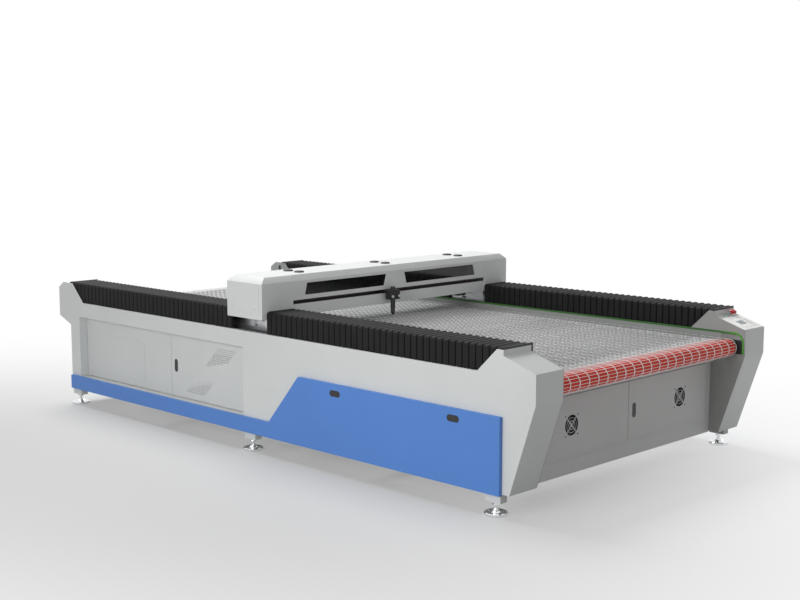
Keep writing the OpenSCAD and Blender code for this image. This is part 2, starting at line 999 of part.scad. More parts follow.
// Front door leaf: a folded tray with a fan guard and lift-off hinge knuckles
module front_door() {
    x0 = 2;
    z1 = front_door_z + front_door_h;
    difference() {
        block([x0, door_face, front_door_z], [front_door_x, door_back, z1]);
        block([x0 + sheet, door_face + sheet, front_door_z + sheet],
              [front_door_x - sheet, door_back + 1, z1 - sheet]);
        translate([fan_x, door_face, fan_z]) {
            guard_slots();
            for (sx = [-fan_screw, fan_screw], sz = [-fan_screw, fan_screw])
                rod_y([sx, -1, sz], fan_screw_r, sheet + 2);
        }
    }
    for (z = front_hinge_zs)
        knuckle([front_hinge[0], front_hinge[1], z],
                [[-hinge_r - sheet, -hinge_r - 2, 0], [-1.2, -2, 0]]);
}

module left_front_door() {
    color("gray")
        mirror([1, 0, 0])
            front_door();
}

module right_front_door() {
    color("gray")
        difference() {
            union() {
                front_door();
                on_front_door()
                    latch_cup_outside();
            }
            on_front_door()
                latch_cup_inside();
        }
}

module front_door_paddle() {
    color("black")
        on_front_door()
            paddle();
}

// ---- conveyor ----

// Slatted table between the belt's two runs
module bed_table() {
    y0 = front_roller_y + roller_r + 8;
    y1 = rear_roller_y - roller_r - 8;
    slat_t = 5;
    slat_x = belt_x - 62;
    slats = floor((y1 - y0 - 20) / slat_pitch);
    rest_z = beam_z + bed_tube_h;
    color("silver") {
        both_sides() {
            block([xi - 20, y0, rest_z], [xi, y1, rest_z + 5]);
            block([slat_x - 6, y0, rest_z], [slat_x, y1, bed_z - 3]);
        }
        for (x = [-slat_x / 3, slat_x / 3])
            block([x - 3, y0, rest_z], [x + 3, y1, bed_z - 12]);
        for (i = [0 : slats])
            block([-slat_x, y0 + 10 + i * slat_pitch, rest_z + 5],
                  [slat_x, y0 + 10 + i * slat_pitch + slat_t, bed_z]);
        for (y = [y0, y1 - 30])
            block([-xi, y, rest_z], [xi, y + 30, rest_z + 5]);
    }
}

// Side outline of a loop round both rollers
module belt_loop(r) {
    for (y = [front_roller_y, rear_roller_y])
        translate([y, roller_z])
            circle(r = r, $fn = 96);
    translate([front_roller_y, roller_z - r])
        square([rear_roller_y - front_roller_y, 2 * r]);
}

module mesh_belt() {
    color("lightgray")
        along_x(-belt_x, belt_x)
            difference() {
                belt_loop(roller_r);
                belt_loop(roller_r - belt_t);
            }
}

shaft_in = xi + sheet + bearing_t + boss_t + 18;
sleeve_t = 7;

module front_roller() {
    color("dimgray") {
        rod_x([-shaft_in, front_roller_y, roller_z], shaft_d / 2, 2 * shaft_in);
        rod_x([-belt_x + 8, front_roller_y, roller_z], drum_r - sleeve_t, 2 * belt_x - 16);
    }
}

module roller_sleeve() {
    color("firebrick")
        difference() {
            rod_x([-belt_x + 10, front_roller_y, roller_z], drum_r, 2 * belt_x - 20);
            rod_x([-belt_x, front_roller_y, roller_z], drum_r - sleeve_t, 2 * belt_x);
        }
}

module rear_roller() {
    color("dimgray") {
        rod_x([-shaft_in, rear_roller_y, roller_z], shaft_d / 2, 2 * shaft_in);
        rod_x([-belt_x + 8, rear_roller_y, roller_z], drum_r, 2 * belt_x - 16);
    }
}

// Plates behind the inner walls' cut-outs, each with a bearing boss
module roller_bearings() {
    grow = 4;
    inner = xi + sheet;
    color([0.15, 0.15, 0.15])
        both_sides()
            difference() {
                union() {
                    along_x(inner, inner + bearing_t)
                        intersection() {
                            both_roller_cuts(grow);
                            translate([yf + 6, 0])
                                square([body_len - 12, wall_z - sheet - 1]);
                        }
                    for (y = [front_roller_y, rear_roller_y])
                        rod_x([inner, y, roller_z], shaft_d / 2 + 14, bearing_t + boss_t);
                }
                for (y = [front_roller_y, rear_roller_y])
                    rod_x([inner - 1, y, roller_z], shaft_d / 2 + running, bearing_t + boss_t + 2);
            }
}

// Gearmotor on the right end of the front roller, on four posts off the bearing plate
module conveyor_motor() {
    x0 = xi + sheet + bearing_t;
    x1 = x0 + boss_t + 4;
    reach = 33;
    color("dimgray")
        difference() {
            union() {
                for (sy = [-reach, reach], sz = [-reach, reach])
                    rod_x([x0, front_roller_y + sy, roller_z + sz], 5, x1 - x0);
                along_x(x1, x1 + 8)
                    translate([front_roller_y - motor_r, roller_z - motor_r])
                        round_rect(2 * motor_r, 2 * motor_r, 8);
                rod_x([x1 + 8, front_roller_y, roller_z], motor_r - 2, 55);
                rod_x([x1 + 63, front_roller_y, roller_z], motor_r - 8, 70);
            }
            rod_x([x1 - 1, front_roller_y, roller_z], shaft_d / 2 + running, 20);
        }
}

// ---- long axis ----

// Belt-driven linear modules under the bellows, each with its motor at the rear end
module y_modules() {
    y0 = foot_front - 20;
    y1 = foot_rear + 10;
    color("lightgray")
        both_sides() {
            along_y(y0, y1)
                difference() {
                    translate([module_x - module_w / 2, beam_top])
                        square([module_w, module_top - beam_top]);
                    for (s = [-1, 1])
                        translate([module_x + s * module_w / 2, beam_top + 26])
                            square([16, 12], center = true);
                    translate([module_x, module_top])
                        square([14, 10], center = true);
                }
            block([module_x + module_w / 2, y1 - 62, beam_top + 3],
                  [module_x + module_w / 2 + 60, y1 - 2, module_top - 3]);
        }
}

// Edge of a run of flat pleats with a pointed groove between each two
function pleat_line(n, y0, step, base, past) = concat(
    [[y0 - past, base + pleat_d]],
    [for (i = [1 : n - 1], k = [-1 : 1])
        [y0 + i * step + k * groove_w / 2, base + (k == 0 ? 0 : pleat_d)]],
    [[y0 + n * step + past, base + pleat_d]]
);

bellows_w = side_w - 2 * bellows_in;
bellows_x0 = xi + bellows_in;
bellows_x1 = bellows_x0 + bellows_w;
bellows_z0 = wall_z + 2;
bellows_z1 = bellows_z0 + bellows_h;

// Solid run of pleats: its top edge seen from the side, cut to its two side edges seen from above
module pleated_run(y0, y1, inset, past) {
    n = round((y1 - y0) / pleat);
    step = (y1 - y0) / n;
    top = pleat_line(n, y0, step, bellows_z1 - pleat_d - inset, past);
    near = pleat_line(n, y0, step, bellows_w / 2 - pleat_d - inset, past);
    far = [for (i = [len(near) - 1 : -1 : 0]) [near[i][0], -near[i][1]]];
    low = bellows_z0 - past;
    intersection() {
        along_x(bellows_x0, bellows_x1)
            polygon(concat(top, [[y1 + past, low], [y0 - past, low]]));
        translate([(bellows_x0 + bellows_x1) / 2, 0, low])
            linear_extrude(bellows_h + past)
                mirror([1, -1])
                    polygon(concat(near, far));
    }
}

// One pleated way cover: an inverted channel between two places along the machine
module way_cover(y0, y1) {
    fabric = 4;
    difference() {
        pleated_run(y0, y1, 0, 0);
        pleated_run(y0, y1, fabric, 1);
    }
}

frame_t = 4;
bellows_front = console_top_y + sheet + frame_t;
bellows_rear = yr - rear_bevel - rear_lip - frame_t - sheet;

module front_bellows() {
    color([0.2, 0.2, 0.2])
        both_sides()
            way_cover(bellows_front, gy0 - clear);
}

module rear_bellows() {
    color([0.2, 0.2, 0.2])
        both_sides()
            way_cover(gy1 + clear, bellows_rear);
}

// Thin black frames that hold the fixed ends of the bellows
module end_frame(y, top) {
    difference() {
        union() {
            block([bellows_x0, y, bellows_z0], [bellows_x1, y + frame_t, bellows_z1]);
            block([xi - 8, y, top + 1], [xo - sheet, y + frame_t, bellows_z1]);
        }
        block([bellows_x0 + 24, y - 1, bellows_z0 - 1], [bellows_x1 - 24, y + frame_t + 1, bellows_z1 - 24]);
    }
}

module bellows_end_frames() {
    color([0.1, 0.1, 0.1])
        both_sides() {
            end_frame(console_top_y + sheet, cheek_top_z);
            end_frame(bellows_rear, rear_top_z);
        }
}

// ---- console ----

bezel_x0 = xi + 3;
bezel_x1 = xo - 4;
bezel_s0 = 5;
bezel_s1 = 168;
panel_lo = [xi + 41, 26];
panel_hi = [xo - 15, 127];
button_s = 188;
stop_x = xi + 150;
start_x = xi + 82;

module console_bezel() {
    color("white")
        on_console()
            difference() {
                block([bezel_x0, bezel_s0, 0], [bezel_x1, bezel_s1, 3]);
                block([panel_lo[0] - clear, panel_lo[1] - clear, -1],
                      [panel_hi[0] + clear, panel_hi[1] + clear, 4]);
            }
}

// Membrane control panel: a display window and a block of keys
module control_panel() {
    lift = 1.5;
    key = 9;
    color("gainsboro")
        on_console()
            difference() {
                block([panel_lo[0], panel_lo[1], 0], [panel_hi[0], panel_hi[1], 4]);
                block([panel_lo[0] + 18, panel_lo[1] + 38, 3], [panel_lo[0] + 88, panel_lo[1] + 84, 5]);
            }
    color("dimgray")
        on_console()
            for (i = [0 : 3], j = [0 : 5])
                block([panel_hi[0] - 60 + i * 14, panel_lo[1] + 10 + j * 14, 4],
                      [panel_hi[0] - 60 + i * 14 + key, panel_lo[1] + 10 + j * 14 + key, 4 + lift]);
}

// Threaded collars of the two push buttons
module button_bases() {
    color("silver")
        on_console() {
            difference() {
                rod_z([stop_x, button_s, 0], 15, 10);
                rod_z([stop_x, button_s, -1], 8 + running, 12);
            }
            difference() {
                rod_z([start_x, button_s, 0], 12, 8);
                rod_z([start_x, button_s, -1], 8 + running, 10);
            }
        }
}

// Mushroom head on its stem
module stop_button() {
    travel = 6;
    color("red")
        on_console()
            translate([stop_x, button_s, 10 + travel])
                rotate_extrude()
                    polygon([
                        [0, -9.5], [8, -9.5], [8, 0.5], [16, 0.5], [20, 4], [20, 12],
                        [17, 16], [10, 18], [0, 18]
                    ]);
}

module start_button() {
    color("green")
        on_console()
            rod_z([start_x, button_s, 4.5], 8, 7);
}

// ---- gantry ----

module gantry_beam() {
    web = 6;
    y0 = gy0 + 3;
    y1 = gy1 - 6;
    end = module_x + module_w / 2 + 20;
    color("darkgray")
        along_x(-end, end)
            difference() {
                translate([y0, beam0_z])
                    square([y1 - y0, x_beam_h]);
                for (i = [0 : 2])
                    translate([y0 + web + i * (y1 - y0 - web) / 3, beam0_z + web])
                        square([(y1 - y0 - web) / 3 - web, x_beam_h - 2 * web]);
            }
}

// Section of the gantry's covers, from its skirt height up
module cover_section(low_front, low_back, inset) {
    lean = inset * 0.4;
    polygon([
        [gy0 + inset, low_front], [gy0 + inset, bevel_z - lean],
        [gy0 + bevel_y + lean, gantry_top - inset],
        [gy1 - bevel_y - lean, gantry_top - inset],
        [gy1 - inset, bevel_z - lean], [gy1 - inset, low_back]
    ]);
}

// Corners of one window: the near one to the middle first
window_low = cover_z + 26;
window_high = bevel_z - 17;
window_near = 82;
window_far = xi - 110;

module window_outline(grow) {
    polygon([
        [window_near - grow, window_high + grow], [window_far + grow, window_high + grow],
        [window_far + 17 + grow, window_low - grow], [window_near + 20 - grow, window_low - grow]
    ]);
}

module gantry_cover() {
    back_z = gantry_z + 5;
    color("gainsboro")
        difference() {
            along_x(-xi, xi)
                difference() {
                    cover_section(cover_z, back_z, 0);
                    cover_section(cover_z - 1, back_z - 1, sheet);
                    translate([gy0 + sheet + 1, back_z - 1])
                        square([gantry_y - 2 * sheet - 1, 120]);
                }
            both_sides()
                along_y(gy0 - 1, gy0 + sheet + 1)
                    window_outline(0);
        }
}

module gantry_windows() {
    color([0.15, 0.15, 0.18, 0.8])
        both_sides()
            along_y(gy0 + sheet, gy0 + sheet + 3)
                window_outline(10);
}

// Folded box over each end of the gantry, open below and towards the middle
module end_box_solid(inset) {
    past = inset > 0 ? 1 : 0;
    lean = inset * 0.4;
    intersection() {
        along_x(xi - past, gx - inset)
            polygon([
                [gy0 + inset, gantry_z - past], [gy0 + inset, bevel_z - lean],
                [gy0 + bevel_y + lean, gantry_top - inset],
                [gy1 - bevel_y - lean, gantry_top - inset],
                [gy1 - inset, bevel_z - lean], [gy1 - inset, gantry_z - past]
            ]);
        along_y(gy0, gy1)
            polygon([
                [xi - past, gantry_z - past], [xi - past, gantry_top - inset],
                [gx - bevel_x - lean, gantry_top - inset],
                [gx - inset, bevel_z - lean], [gx - inset, gantry_z - past]
            ]);
    }
}

module gantry_end_boxes() {
    color("gainsboro")
        both_sides()
            difference() {
                end_box_solid(0);
                end_box_solid(sheet);
            }
}

// Screwed plate on the outer face of each end box
module end_plates() {
    edge = 28;
    z0 = gantry_z + 48;
    z1 = bevel_z - 12;
    color("gainsboro")
        both_sides()
            difference() {
                block([gx, gy0 + edge + 1, z0], [gx + 2, gy1 - edge, z1]);
                for (y = [gy0 + edge + 36, gy1 - edge - 29], z = [z0 + 13, z1 - 13])
                    rod_x([gx + 1, y, z], 4, 2);
            }
}

cap_r = 30;
cap_pairs = [-xi + 144, 20, xi - 139];

module top_caps() {
    color("black")
        for (x = cap_pairs, s = [-50, 50])
            translate([x, (gy0 + gy1) / 2 + s, gantry_top])
                rotate_extrude()
                    polygon([[0, 0], [cap_r, 0], [cap_r, 5], [cap_r - 3, 8], [cap_r - 8, 9], [0, 9]]);
}

// Saddle plate and two guide blocks on each linear module
module gantry_saddles() {
    guide_l = 90;
    y0 = gy0 + 20;
    y1 = gy1 - 20;
    half = module_w / 2 + 14;
    plate_z = module_top + clear + 8;
    color("dimgray")
        both_sides() {
            block([module_x - half, y0, plate_z], [module_x + half, y1, beam0_z]);
            for (y = [y0, y1 - guide_l])
                difference() {
                    block([module_x - half, y, beam_top + 21], [module_x + half, y + guide_l, plate_z]);
                    block([module_x - module_w / 2 - clear, y - 1, beam_top - 20],
                          [module_x + module_w / 2 + clear, y + guide_l + 1, module_top + clear]);
                }
        }
}

tube_y = gy1 - 72;
tube_z = gantry_top - 82;
tube_half = xi - 110;

module laser_tube() {
    color([0.85, 0.9, 0.95, 0.5])
        rod_x([-tube_half, tube_y, tube_z], laser_d / 2, 2 * tube_half);
    color("silver")
        both_sides()
            rod_x([tube_half, tube_y, tube_z], laser_d / 2 - 18, 30);
}

// Ring stands of the laser tube, and the two corner mirrors at the right end
module optics_mounts() {
    ring = laser_d / 2 + 9;
    mirror_y = gy0 + 24;
    mirror_x = xi + 40;
    color("dimgray") {
        for (x = [-xi / 2, xi / 2])
            difference() {
                union() {
                    rod_x([x - 12, tube_y, tube_z], ring, 24);
                    block([x - 12, tube_y - 30, beam1_z], [x + 12, tube_y + 30, tube_z]);
                }
                rod_x([x - 13, tube_y, tube_z], laser_d / 2, 26);
            }
        for (y = [mirror_y, tube_y]) {
            block([mirror_x - 12, y - 6, beam1_z], [mirror_x + 12, y + 6, tube_z - 24]);
            translate([mirror_x, y, tube_z - 28])
                rotate([0, 0, y == mirror_y ? 45 : -45])
                    difference() {
                        block([-22, -6, 0], [22, 6, 52]);
                        rod_y([0, -7, 28], 13, 4);
                    }
        }
    }
}

// Energy chain: its pitch, section, bend radius, place and number of links
chain_pitch = 30;
chain_h = 22;
chain_w = 56;
chain_r = 28;
chain_y = gy0 + 62;
chain_z = cover_z + 38;
chain_lower = 15;
chain_upper = 26;
chain_end = head_x - 160;
chain_fixed_x = chain_end + (chain_lower - chain_upper) * chain_pitch;
chain_shelf = chain_z + 2 * chain_r - chain_h / 2 - clear;

// Perforated baffle between the cross axis and the laser tube, with the chain's shelf
module inner_baffle() {
    y = gy0 + 150;
    color("silver")
        difference() {
            block([-xi + 4, y, beam1_z], [xi - 4, y + sheet, gantry_top - sheet - 6]);
            for (x0 = [-650, 330], i = [0 : 11], j = [0 : 4])
                along_y(y - 1, y + sheet + 1)
                    translate([x0 + i * 20 - j * 14, window_low + 8 + j * 14])
                        circle(r = 4.5, $fn = 6);
        }
    color("silver")
        block([chain_fixed_x, chain_y, chain_shelf - 3], [chain_fixed_x + 60, y, chain_shelf]);
}

module chain_link() {
    difference() {
        block([-chain_pitch / 2 - 1, -chain_w / 2, -chain_h / 2],
              [chain_pitch / 2 + 1, chain_w / 2, chain_h / 2]);
        block([-chain_pitch, 4 - chain_w / 2, 3 - chain_h / 2],
              [chain_pitch, chain_w / 2 - 4, chain_h / 2 - 3]);
        for (s = [-1, 1])
            block([s < 0 ? -chain_pitch : 7, -chain_w, -chain_h],
                  [s < 0 ? -7 : chain_pitch, chain_w / 2 - 4, chain_h]);
    }
}

// Energy chain over the cross axis: a lower run from the head, a bend, and an upper run
module drag_chain() {
    bend_x = chain_end + chain_lower * chain_pitch;
    steps = 3;
    color([0.25, 0.25, 0.25]) {
        for (i = [0 : chain_lower - 1])
            translate([bend_x - (i + 0.5) * chain_pitch, chain_y, chain_z])
                chain_link();
        for (i = [0 : chain_upper - 1])
            translate([bend_x - (i + 0.5) * chain_pitch, chain_y, chain_z + 2 * chain_r])
                chain_link();
        for (i = [0 : steps - 1])
            translate([bend_x, chain_y, chain_z + chain_r])
                rotate([0, 90 - (i + 0.5) * 180 / steps, 0])
                    translate([chain_r, 0, 0])
                        rotate([0, 90, 0])
                            chain_link();
    }
}

// Cross axis: a belt-driven linear module on the beam, with its motor in the left end box
x_mod_y0 = gy0 + 57;
x_mod_w = 60;
x_mod_top = beam1_z + 40;

module x_module() {
    color("lightgray") {
        along_x(-xi, xi - 60)
            difference() {
                translate([x_mod_y0, beam1_z])
                    square([x_mod_w, x_mod_top - beam1_z]);
                for (z = [beam1_z + 12, beam1_z + 28])
                    translate([x_mod_y0, z])
                        square([8, 6], center = true);
            }
        block([-xi - 90, x_mod_y0, beam1_z], [-xi, x_mod_y0 + x_mod_w, x_mod_top + 10]);
        rod_y([-xi - 45, x_mod_y0 + x_mod_w, beam1_z + 28], 27, 90);
    }
}

// ---- head ----

arm_z0 = beam1_z + 4;
arm_z1 = cover_z - 4;
head_y = gy0 - 38;
bracket_half = 45;
bracket_z = beam0_z + 30;

// Carriage on the cross axis, the arm through the slot, and the bored head bracket
module head_carriage() {
    color([0.12, 0.12, 0.12])
        difference() {
            union() {
                block([head_x - 60, gy0 + 29, arm_z0], [head_x + 60, x_mod_y0 - clear, x_mod_top + 4]);
                block([head_x - bracket_half, head_y + 8, arm_z0],
                      [head_x + bracket_half, gy0 + 30, arm_z1]);
                block([chain_end, gy0 + 29, x_mod_top + 3],
                      [head_x + 60, x_mod_y0 - 1, chain_z - chain_h / 2 - clear]);
                block([head_x - 14, gy0 + 7, arm_z0], [head_x + 14, gy0 + 31, tube_z + 20]);
                along_y(head_y - 20, head_y + 20)
                    translate([head_x - bracket_half, bracket_z])
                        round_rect(2 * bracket_half, arm_z1 + 3 - bracket_z, 5);
            }
            rod_z([head_x, head_y, bracket_z - 1], lens_d / 2 + running, 100);
        }
}

module bracket_knobs() {
    color("silver")
        for (s = [-29, 29])
            translate([head_x + s, head_y - 20, bracket_z + 20])
                rotate([90, 0, 0])
                    rotate_extrude()
                        polygon([[0, 0], [5, 0], [5, 3], [9, 4], [9, 12], [7.5, 14], [0, 14]]);
}

// Lens tube: body, a slightly narrower lower part, and a short conical nozzle
module lens_tube() {
    r = lens_d / 2;
    top = arm_z1 + 22;
    color([0.12, 0.12, 0.12])
        translate([head_x, head_y, 0])
            rotate_extrude()
                polygon([
                    [0, nozzle_z], [2.5, nozzle_z], [3.5, nozzle_z + 2], [r - 1.5, nozzle_z + 18],
                    [r - 1.5, nozzle_z + 42], [r, nozzle_z + 44], [r, top], [0, top]
                ]);
}

frame_rails();
frame_posts();
cross_members();
foot_pads();
foot_studs();
side_panels();
inner_walls();
front_corner_covers();
rear_corner_covers();
edge_trims();
skirts();
recess_panels();
access_cover();
front_panel();
rear_panel();
hinge_posts();
bed_table();
mesh_belt();
roller_bearings();
exhaust_hopper();
electronics_plate();
conveyor_motor();
y_modules();
front_bellows();
rear_bellows();
bellows_end_frames();
console_bezel();
control_panel();
button_bases();
gantry_beam();
gantry_cover();
gantry_windows();
gantry_end_boxes();
end_plates();
top_caps();
gantry_saddles();
laser_tube();
optics_mounts();
inner_baffle();
drag_chain();
x_module();
head_carriage();
bracket_knobs();
lens_tube();
front_roller();
roller_sleeve();
rear_roller();
side_door();
left_front_door();
right_front_door();
side_door_paddle();
front_door_paddle();
skirt_front_paddle();
skirt_rear_paddle();
left_fan_housing();
right_fan_housing();
left_fan_rotor();
right_fan_rotor();
stop_button();
start_button();
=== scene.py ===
import json
import math

import bmesh
import bpy
import numpy as np
from mathutils import Matrix, Vector

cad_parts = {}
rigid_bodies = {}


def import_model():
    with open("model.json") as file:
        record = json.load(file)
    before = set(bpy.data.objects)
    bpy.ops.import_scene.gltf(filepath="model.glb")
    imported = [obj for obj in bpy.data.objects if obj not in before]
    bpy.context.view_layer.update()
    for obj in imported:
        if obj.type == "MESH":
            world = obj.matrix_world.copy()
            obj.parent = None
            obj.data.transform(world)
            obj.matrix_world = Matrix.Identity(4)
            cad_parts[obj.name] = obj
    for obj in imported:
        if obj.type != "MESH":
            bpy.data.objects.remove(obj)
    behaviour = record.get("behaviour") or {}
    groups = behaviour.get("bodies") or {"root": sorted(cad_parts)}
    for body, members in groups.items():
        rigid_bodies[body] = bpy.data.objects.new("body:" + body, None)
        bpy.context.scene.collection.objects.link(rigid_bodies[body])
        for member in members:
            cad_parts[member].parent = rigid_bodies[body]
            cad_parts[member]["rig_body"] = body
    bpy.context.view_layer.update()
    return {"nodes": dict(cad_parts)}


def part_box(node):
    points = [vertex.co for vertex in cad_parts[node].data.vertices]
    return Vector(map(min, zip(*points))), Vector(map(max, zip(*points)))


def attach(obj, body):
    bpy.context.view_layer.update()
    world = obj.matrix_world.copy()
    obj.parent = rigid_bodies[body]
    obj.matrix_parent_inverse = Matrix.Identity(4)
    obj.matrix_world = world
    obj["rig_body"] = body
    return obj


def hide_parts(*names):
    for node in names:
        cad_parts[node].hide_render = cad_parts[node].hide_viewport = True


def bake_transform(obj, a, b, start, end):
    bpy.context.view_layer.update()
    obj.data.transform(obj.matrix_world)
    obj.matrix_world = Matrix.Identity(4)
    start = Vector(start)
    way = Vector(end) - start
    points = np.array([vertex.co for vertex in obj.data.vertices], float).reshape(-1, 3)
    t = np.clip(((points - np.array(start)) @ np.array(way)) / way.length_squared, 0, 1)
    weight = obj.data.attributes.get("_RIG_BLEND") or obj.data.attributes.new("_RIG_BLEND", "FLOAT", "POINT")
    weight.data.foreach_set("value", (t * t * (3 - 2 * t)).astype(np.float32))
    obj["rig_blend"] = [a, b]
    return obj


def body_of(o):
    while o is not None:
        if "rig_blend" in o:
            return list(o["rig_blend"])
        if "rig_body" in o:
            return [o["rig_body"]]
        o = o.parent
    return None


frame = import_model()
NODES = frame["nodes"]

MM = 0.001

# ---- camera ----

CAMERA_AT = (-5.862, -5.954, 1.900)
CAMERA_HEADING = 45.38
CAMERA_DIP = 7.447
CAMERA_LENS = 58.85


def make_camera():
    data = bpy.data.cameras.new("camera")
    data.lens = CAMERA_LENS
    data.sensor_width = 36
    data.clip_end = 200
    camera = bpy.data.objects.new("camera", data)
    bpy.context.scene.collection.objects.link(camera)
    camera.location = CAMERA_AT
    camera.rotation_euler = (
        math.radians(90 - CAMERA_DIP), 0, math.radians(-CAMERA_HEADING)
    )
    bpy.context.scene.camera = camera


make_camera()

# ---- measures of the machine, taken from the frame ----


def span(node):
    low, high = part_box(node)
    return np.array(low), np.array(high)


BELT_LOW, BELT_HIGH = span("mesh_belt")
ROLLER_Z = (BELT_LOW[2] + BELT_HIGH[2]) / 2
ROLLER_R = (BELT_HIGH[2] - BELT_LOW[2]) / 2
FRONT_ROLLER_Y = BELT_LOW[1] + ROLLER_R
REAR_ROLLER_Y = BELT_HIGH[1] - ROLLER_R
BELT_X = BELT_HIGH[0]

# ---- materials ----


def new_material(name):
    m = bpy.data.materials.new(name)
    m.use_nodes = True
    return m, m.node_tree.nodes, m.node_tree.links, m.node_tree.nodes["Principled BSDF"]


def object_coordinates(nodes, links, scale):
    coordinates = nodes.new("ShaderNodeTexCoord")
    mapping = nodes.new("ShaderNodeMapping")
    mapping.inputs["Scale"].default_value = scale
    links.new(coordinates.outputs["Object"], mapping.inputs["Vector"])
    return mapping.outputs["Vector"]


def noise(nodes, links, vector, scale, detail=2.0):
    n = nodes.new("ShaderNodeTexNoise")
    n.inputs["Scale"].default_value = scale
    n.inputs["Detail"].default_value = detail
    links.new(vector, n.inputs["Vector"])
    return n.outputs["Fac"]


def ramp(nodes, links, fac, stops):
    r = nodes.new("ShaderNodeValToRGB")
    while len(r.color_ramp.elements) < len(stops):
        r.color_ramp.elements.new(0.5)
    for element, (at, colour) in zip(r.color_ramp.elements, stops):
        element.position = at
        element.color = (*colour, 1) if len(colour) == 3 else colour
    links.new(fac, r.inputs["Fac"])
    return r.outputs["Color"]


def to_range(nodes, links, fac, low, high, first=0.0, last=1.0, smooth=False):
    """Turns a value that runs from first to last into one that runs from low to high."""
    n = nodes.new("ShaderNodeMapRange")
    if smooth:
        n.interpolation_type = "SMOOTHSTEP"
    n.inputs["From Min"].default_value = first
    n.inputs["From Max"].default_value = last
    n.inputs["To Min"].default_value = low
    n.inputs["To Max"].default_value = high
    links.new(fac, n.inputs["Value"])
    return n.outputs["Result"]


def calc(nodes, links, operation, *values):
    """A sum of numbers and sockets, such as MULTIPLY, ABSOLUTE or MAXIMUM."""
    n = nodes.new("ShaderNodeMath")
    n.operation = operation
    for socket, value in zip(n.inputs, values):
        if isinstance(value, float):
            socket.default_value = value
        else:
            links.new(value, socket)
    return n.outputs[0]


def axes_of(nodes, links, vector):
    split = nodes.new("ShaderNodeSeparateXYZ")
    links.new(vector, split.inputs[0])
    return split.outputs


def colour_mix(nodes, links, blend, factor, a, b):
    mix = nodes.new("ShaderNodeMix")
    mix.data_type = "RGBA"
    mix.blend_type = blend
    if isinstance(factor, float):
        mix.inputs["Factor"].default_value = factor
    else:
        links.new(factor, mix.inputs["Factor"])
    links.new(a, mix.inputs["A"])
    links.new(b, mix.inputs["B"])
    return mix.outputs["Result"]


def bump(nodes, links, height, strength, distance, shader):
    b = nodes.new("ShaderNodeBump")
    b.inputs["Strength"].default_value = strength
    b.inputs["Distance"].default_value = distance
    links.new(height, b.inputs["Height"])
    links.new(b.outputs["Normal"], shader.inputs["Normal"])
    return b


def shade(colour, k):
    return tuple(min(1.0, c * k) for c in colour)


def finish_of(name, colour, rough, metal=0.0, mottle=0.04, patch=3.0, grain=900.0,
              grain_depth=0.00012, grain_strength=0.35, stretch=(1, 1, 1),
              rough_spread=0.06, **sockets):
    """A surface with slow patches of tone, and a fine grain in bump and roughness."""
    m, nodes, links, shader = new_material(name)
    vector = object_coordinates(nodes, links, stretch)
    tone = ramp(nodes, links, noise(nodes, links, vector, patch, 4.0), [
        (0.3, shade(colour, 1 - mottle)), (0.7, shade(colour, 1 + mottle))
    ])
    links.new(tone, shader.inputs["Base Color"])
    fine = noise(nodes, links, vector, grain, 2.0)
    links.new(to_range(nodes, links, fine, rough - rough_spread, rough + rough_spread),
              shader.inputs["Roughness"])
    bump(nodes, links, fine, grain_strength, grain_depth, shader)
    shader.inputs["Metallic"].default_value = metal
    for socket, value in sockets.items():
        shader.inputs[socket.replace("_", " ")].default_value = value
    return m


GREY_PAINT = finish_of("light grey powder coat", (0.63, 0.645, 0.64), 0.5, mottle=0.02,
                       Specular_IOR_Level=0.4)
# a slightly darker copy of the light grey powder coat: painted shade on the front doors and the rear panel
GREY_PAINT_SHADED = finish_of("grey powder coat with painted shade", (0.60, 0.61, 0.605), 0.52, mottle=0.02,
                        Specular_IOR_Level=0.35)
INNER_PAINT = finish_of("shaded grey powder coat", (0.34, 0.35, 0.34), 0.55, mottle=0.03,
                        Specular_IOR_Level=0.35)
FRAME_PAINT = finish_of("dark grey frame paint", (0.07, 0.072, 0.075), 0.5)
BLUE_PAINT = finish_of("blue powder coat", (0.085, 0.225, 0.60), 0.45, mottle=0.02,
                       Specular_IOR_Level=0.4)
CHROME = finish_of("chrome plate", (0.80, 0.81, 0.82), 0.12, metal=1.0, mottle=0.02,
                   grain=60.0, grain_depth=0.00002, rough_spread=0.04)
STEEL = finish_of("turned steel", (0.56, 0.57, 0.58), 0.3, metal=1.0, grain=300.0,
                  grain_depth=0.00003, stretch=(0.1, 1, 1))
ZINC_SHEET = finish_of("zinc coated sheet", (0.52, 0.54, 0.56), 0.38, metal=1.0,
                       mottle=0.12, patch=14.0, grain=60.0, grain_depth=0.00003)
ALUMINIUM = finish_of("anodised aluminium", (0.62, 0.63, 0.65), 0.36, metal=1.0,
                      grain=500.0, grain_depth=0.00003, stretch=(1, 0.04, 1))
BLACK_ANODISED = finish_of("black anodised aluminium", (0.07, 0.065, 0.06), 0.5, metal=0.2,
                           grain=500.0, grain_depth=0.00003, stretch=(0.04, 1, 1))
WIRE = finish_of("bright spring wire", (0.94, 0.94, 0.94), 0.34, metal=0.1, grain=300.0,
                 grain_depth=0.00003)
BLACK_METAL = finish_of("black oxide steel", (0.022, 0.022, 0.024), 0.42, metal=0.3)
BLACK_PLASTIC = finish_of("grained black plastic", (0.018, 0.018, 0.019), 0.48, grain=700.0)
BRUSH_RUBBER = finish_of("brown black rubber", (0.034, 0.030, 0.027), 0.62, grain=260.0,
                         stretch=(0.3, 1, 1))
RED_RUBBER = finish_of("red roller rubber", (0.64, 0.045, 0.02), 0.6, grain=350.0,
                       Specular_IOR_Level=0.25)
RED_PLASTIC = finish_of("red button plastic", (0.42, 0.012, 0.012), 0.28, grain=200.0,
                        grain_depth=0.00002)
GREEN_PLASTIC = finish_of("green button plastic", (0.05, 0.26, 0.12), 0.28, grain=200.0,
                          grain_depth=0.00002)
WHITE_GLOSS = finish_of("white moulded bezel", (0.92, 0.92, 0.91), 0.3, mottle=0.01,
                        grain=200.0, grain_depth=0.00002)
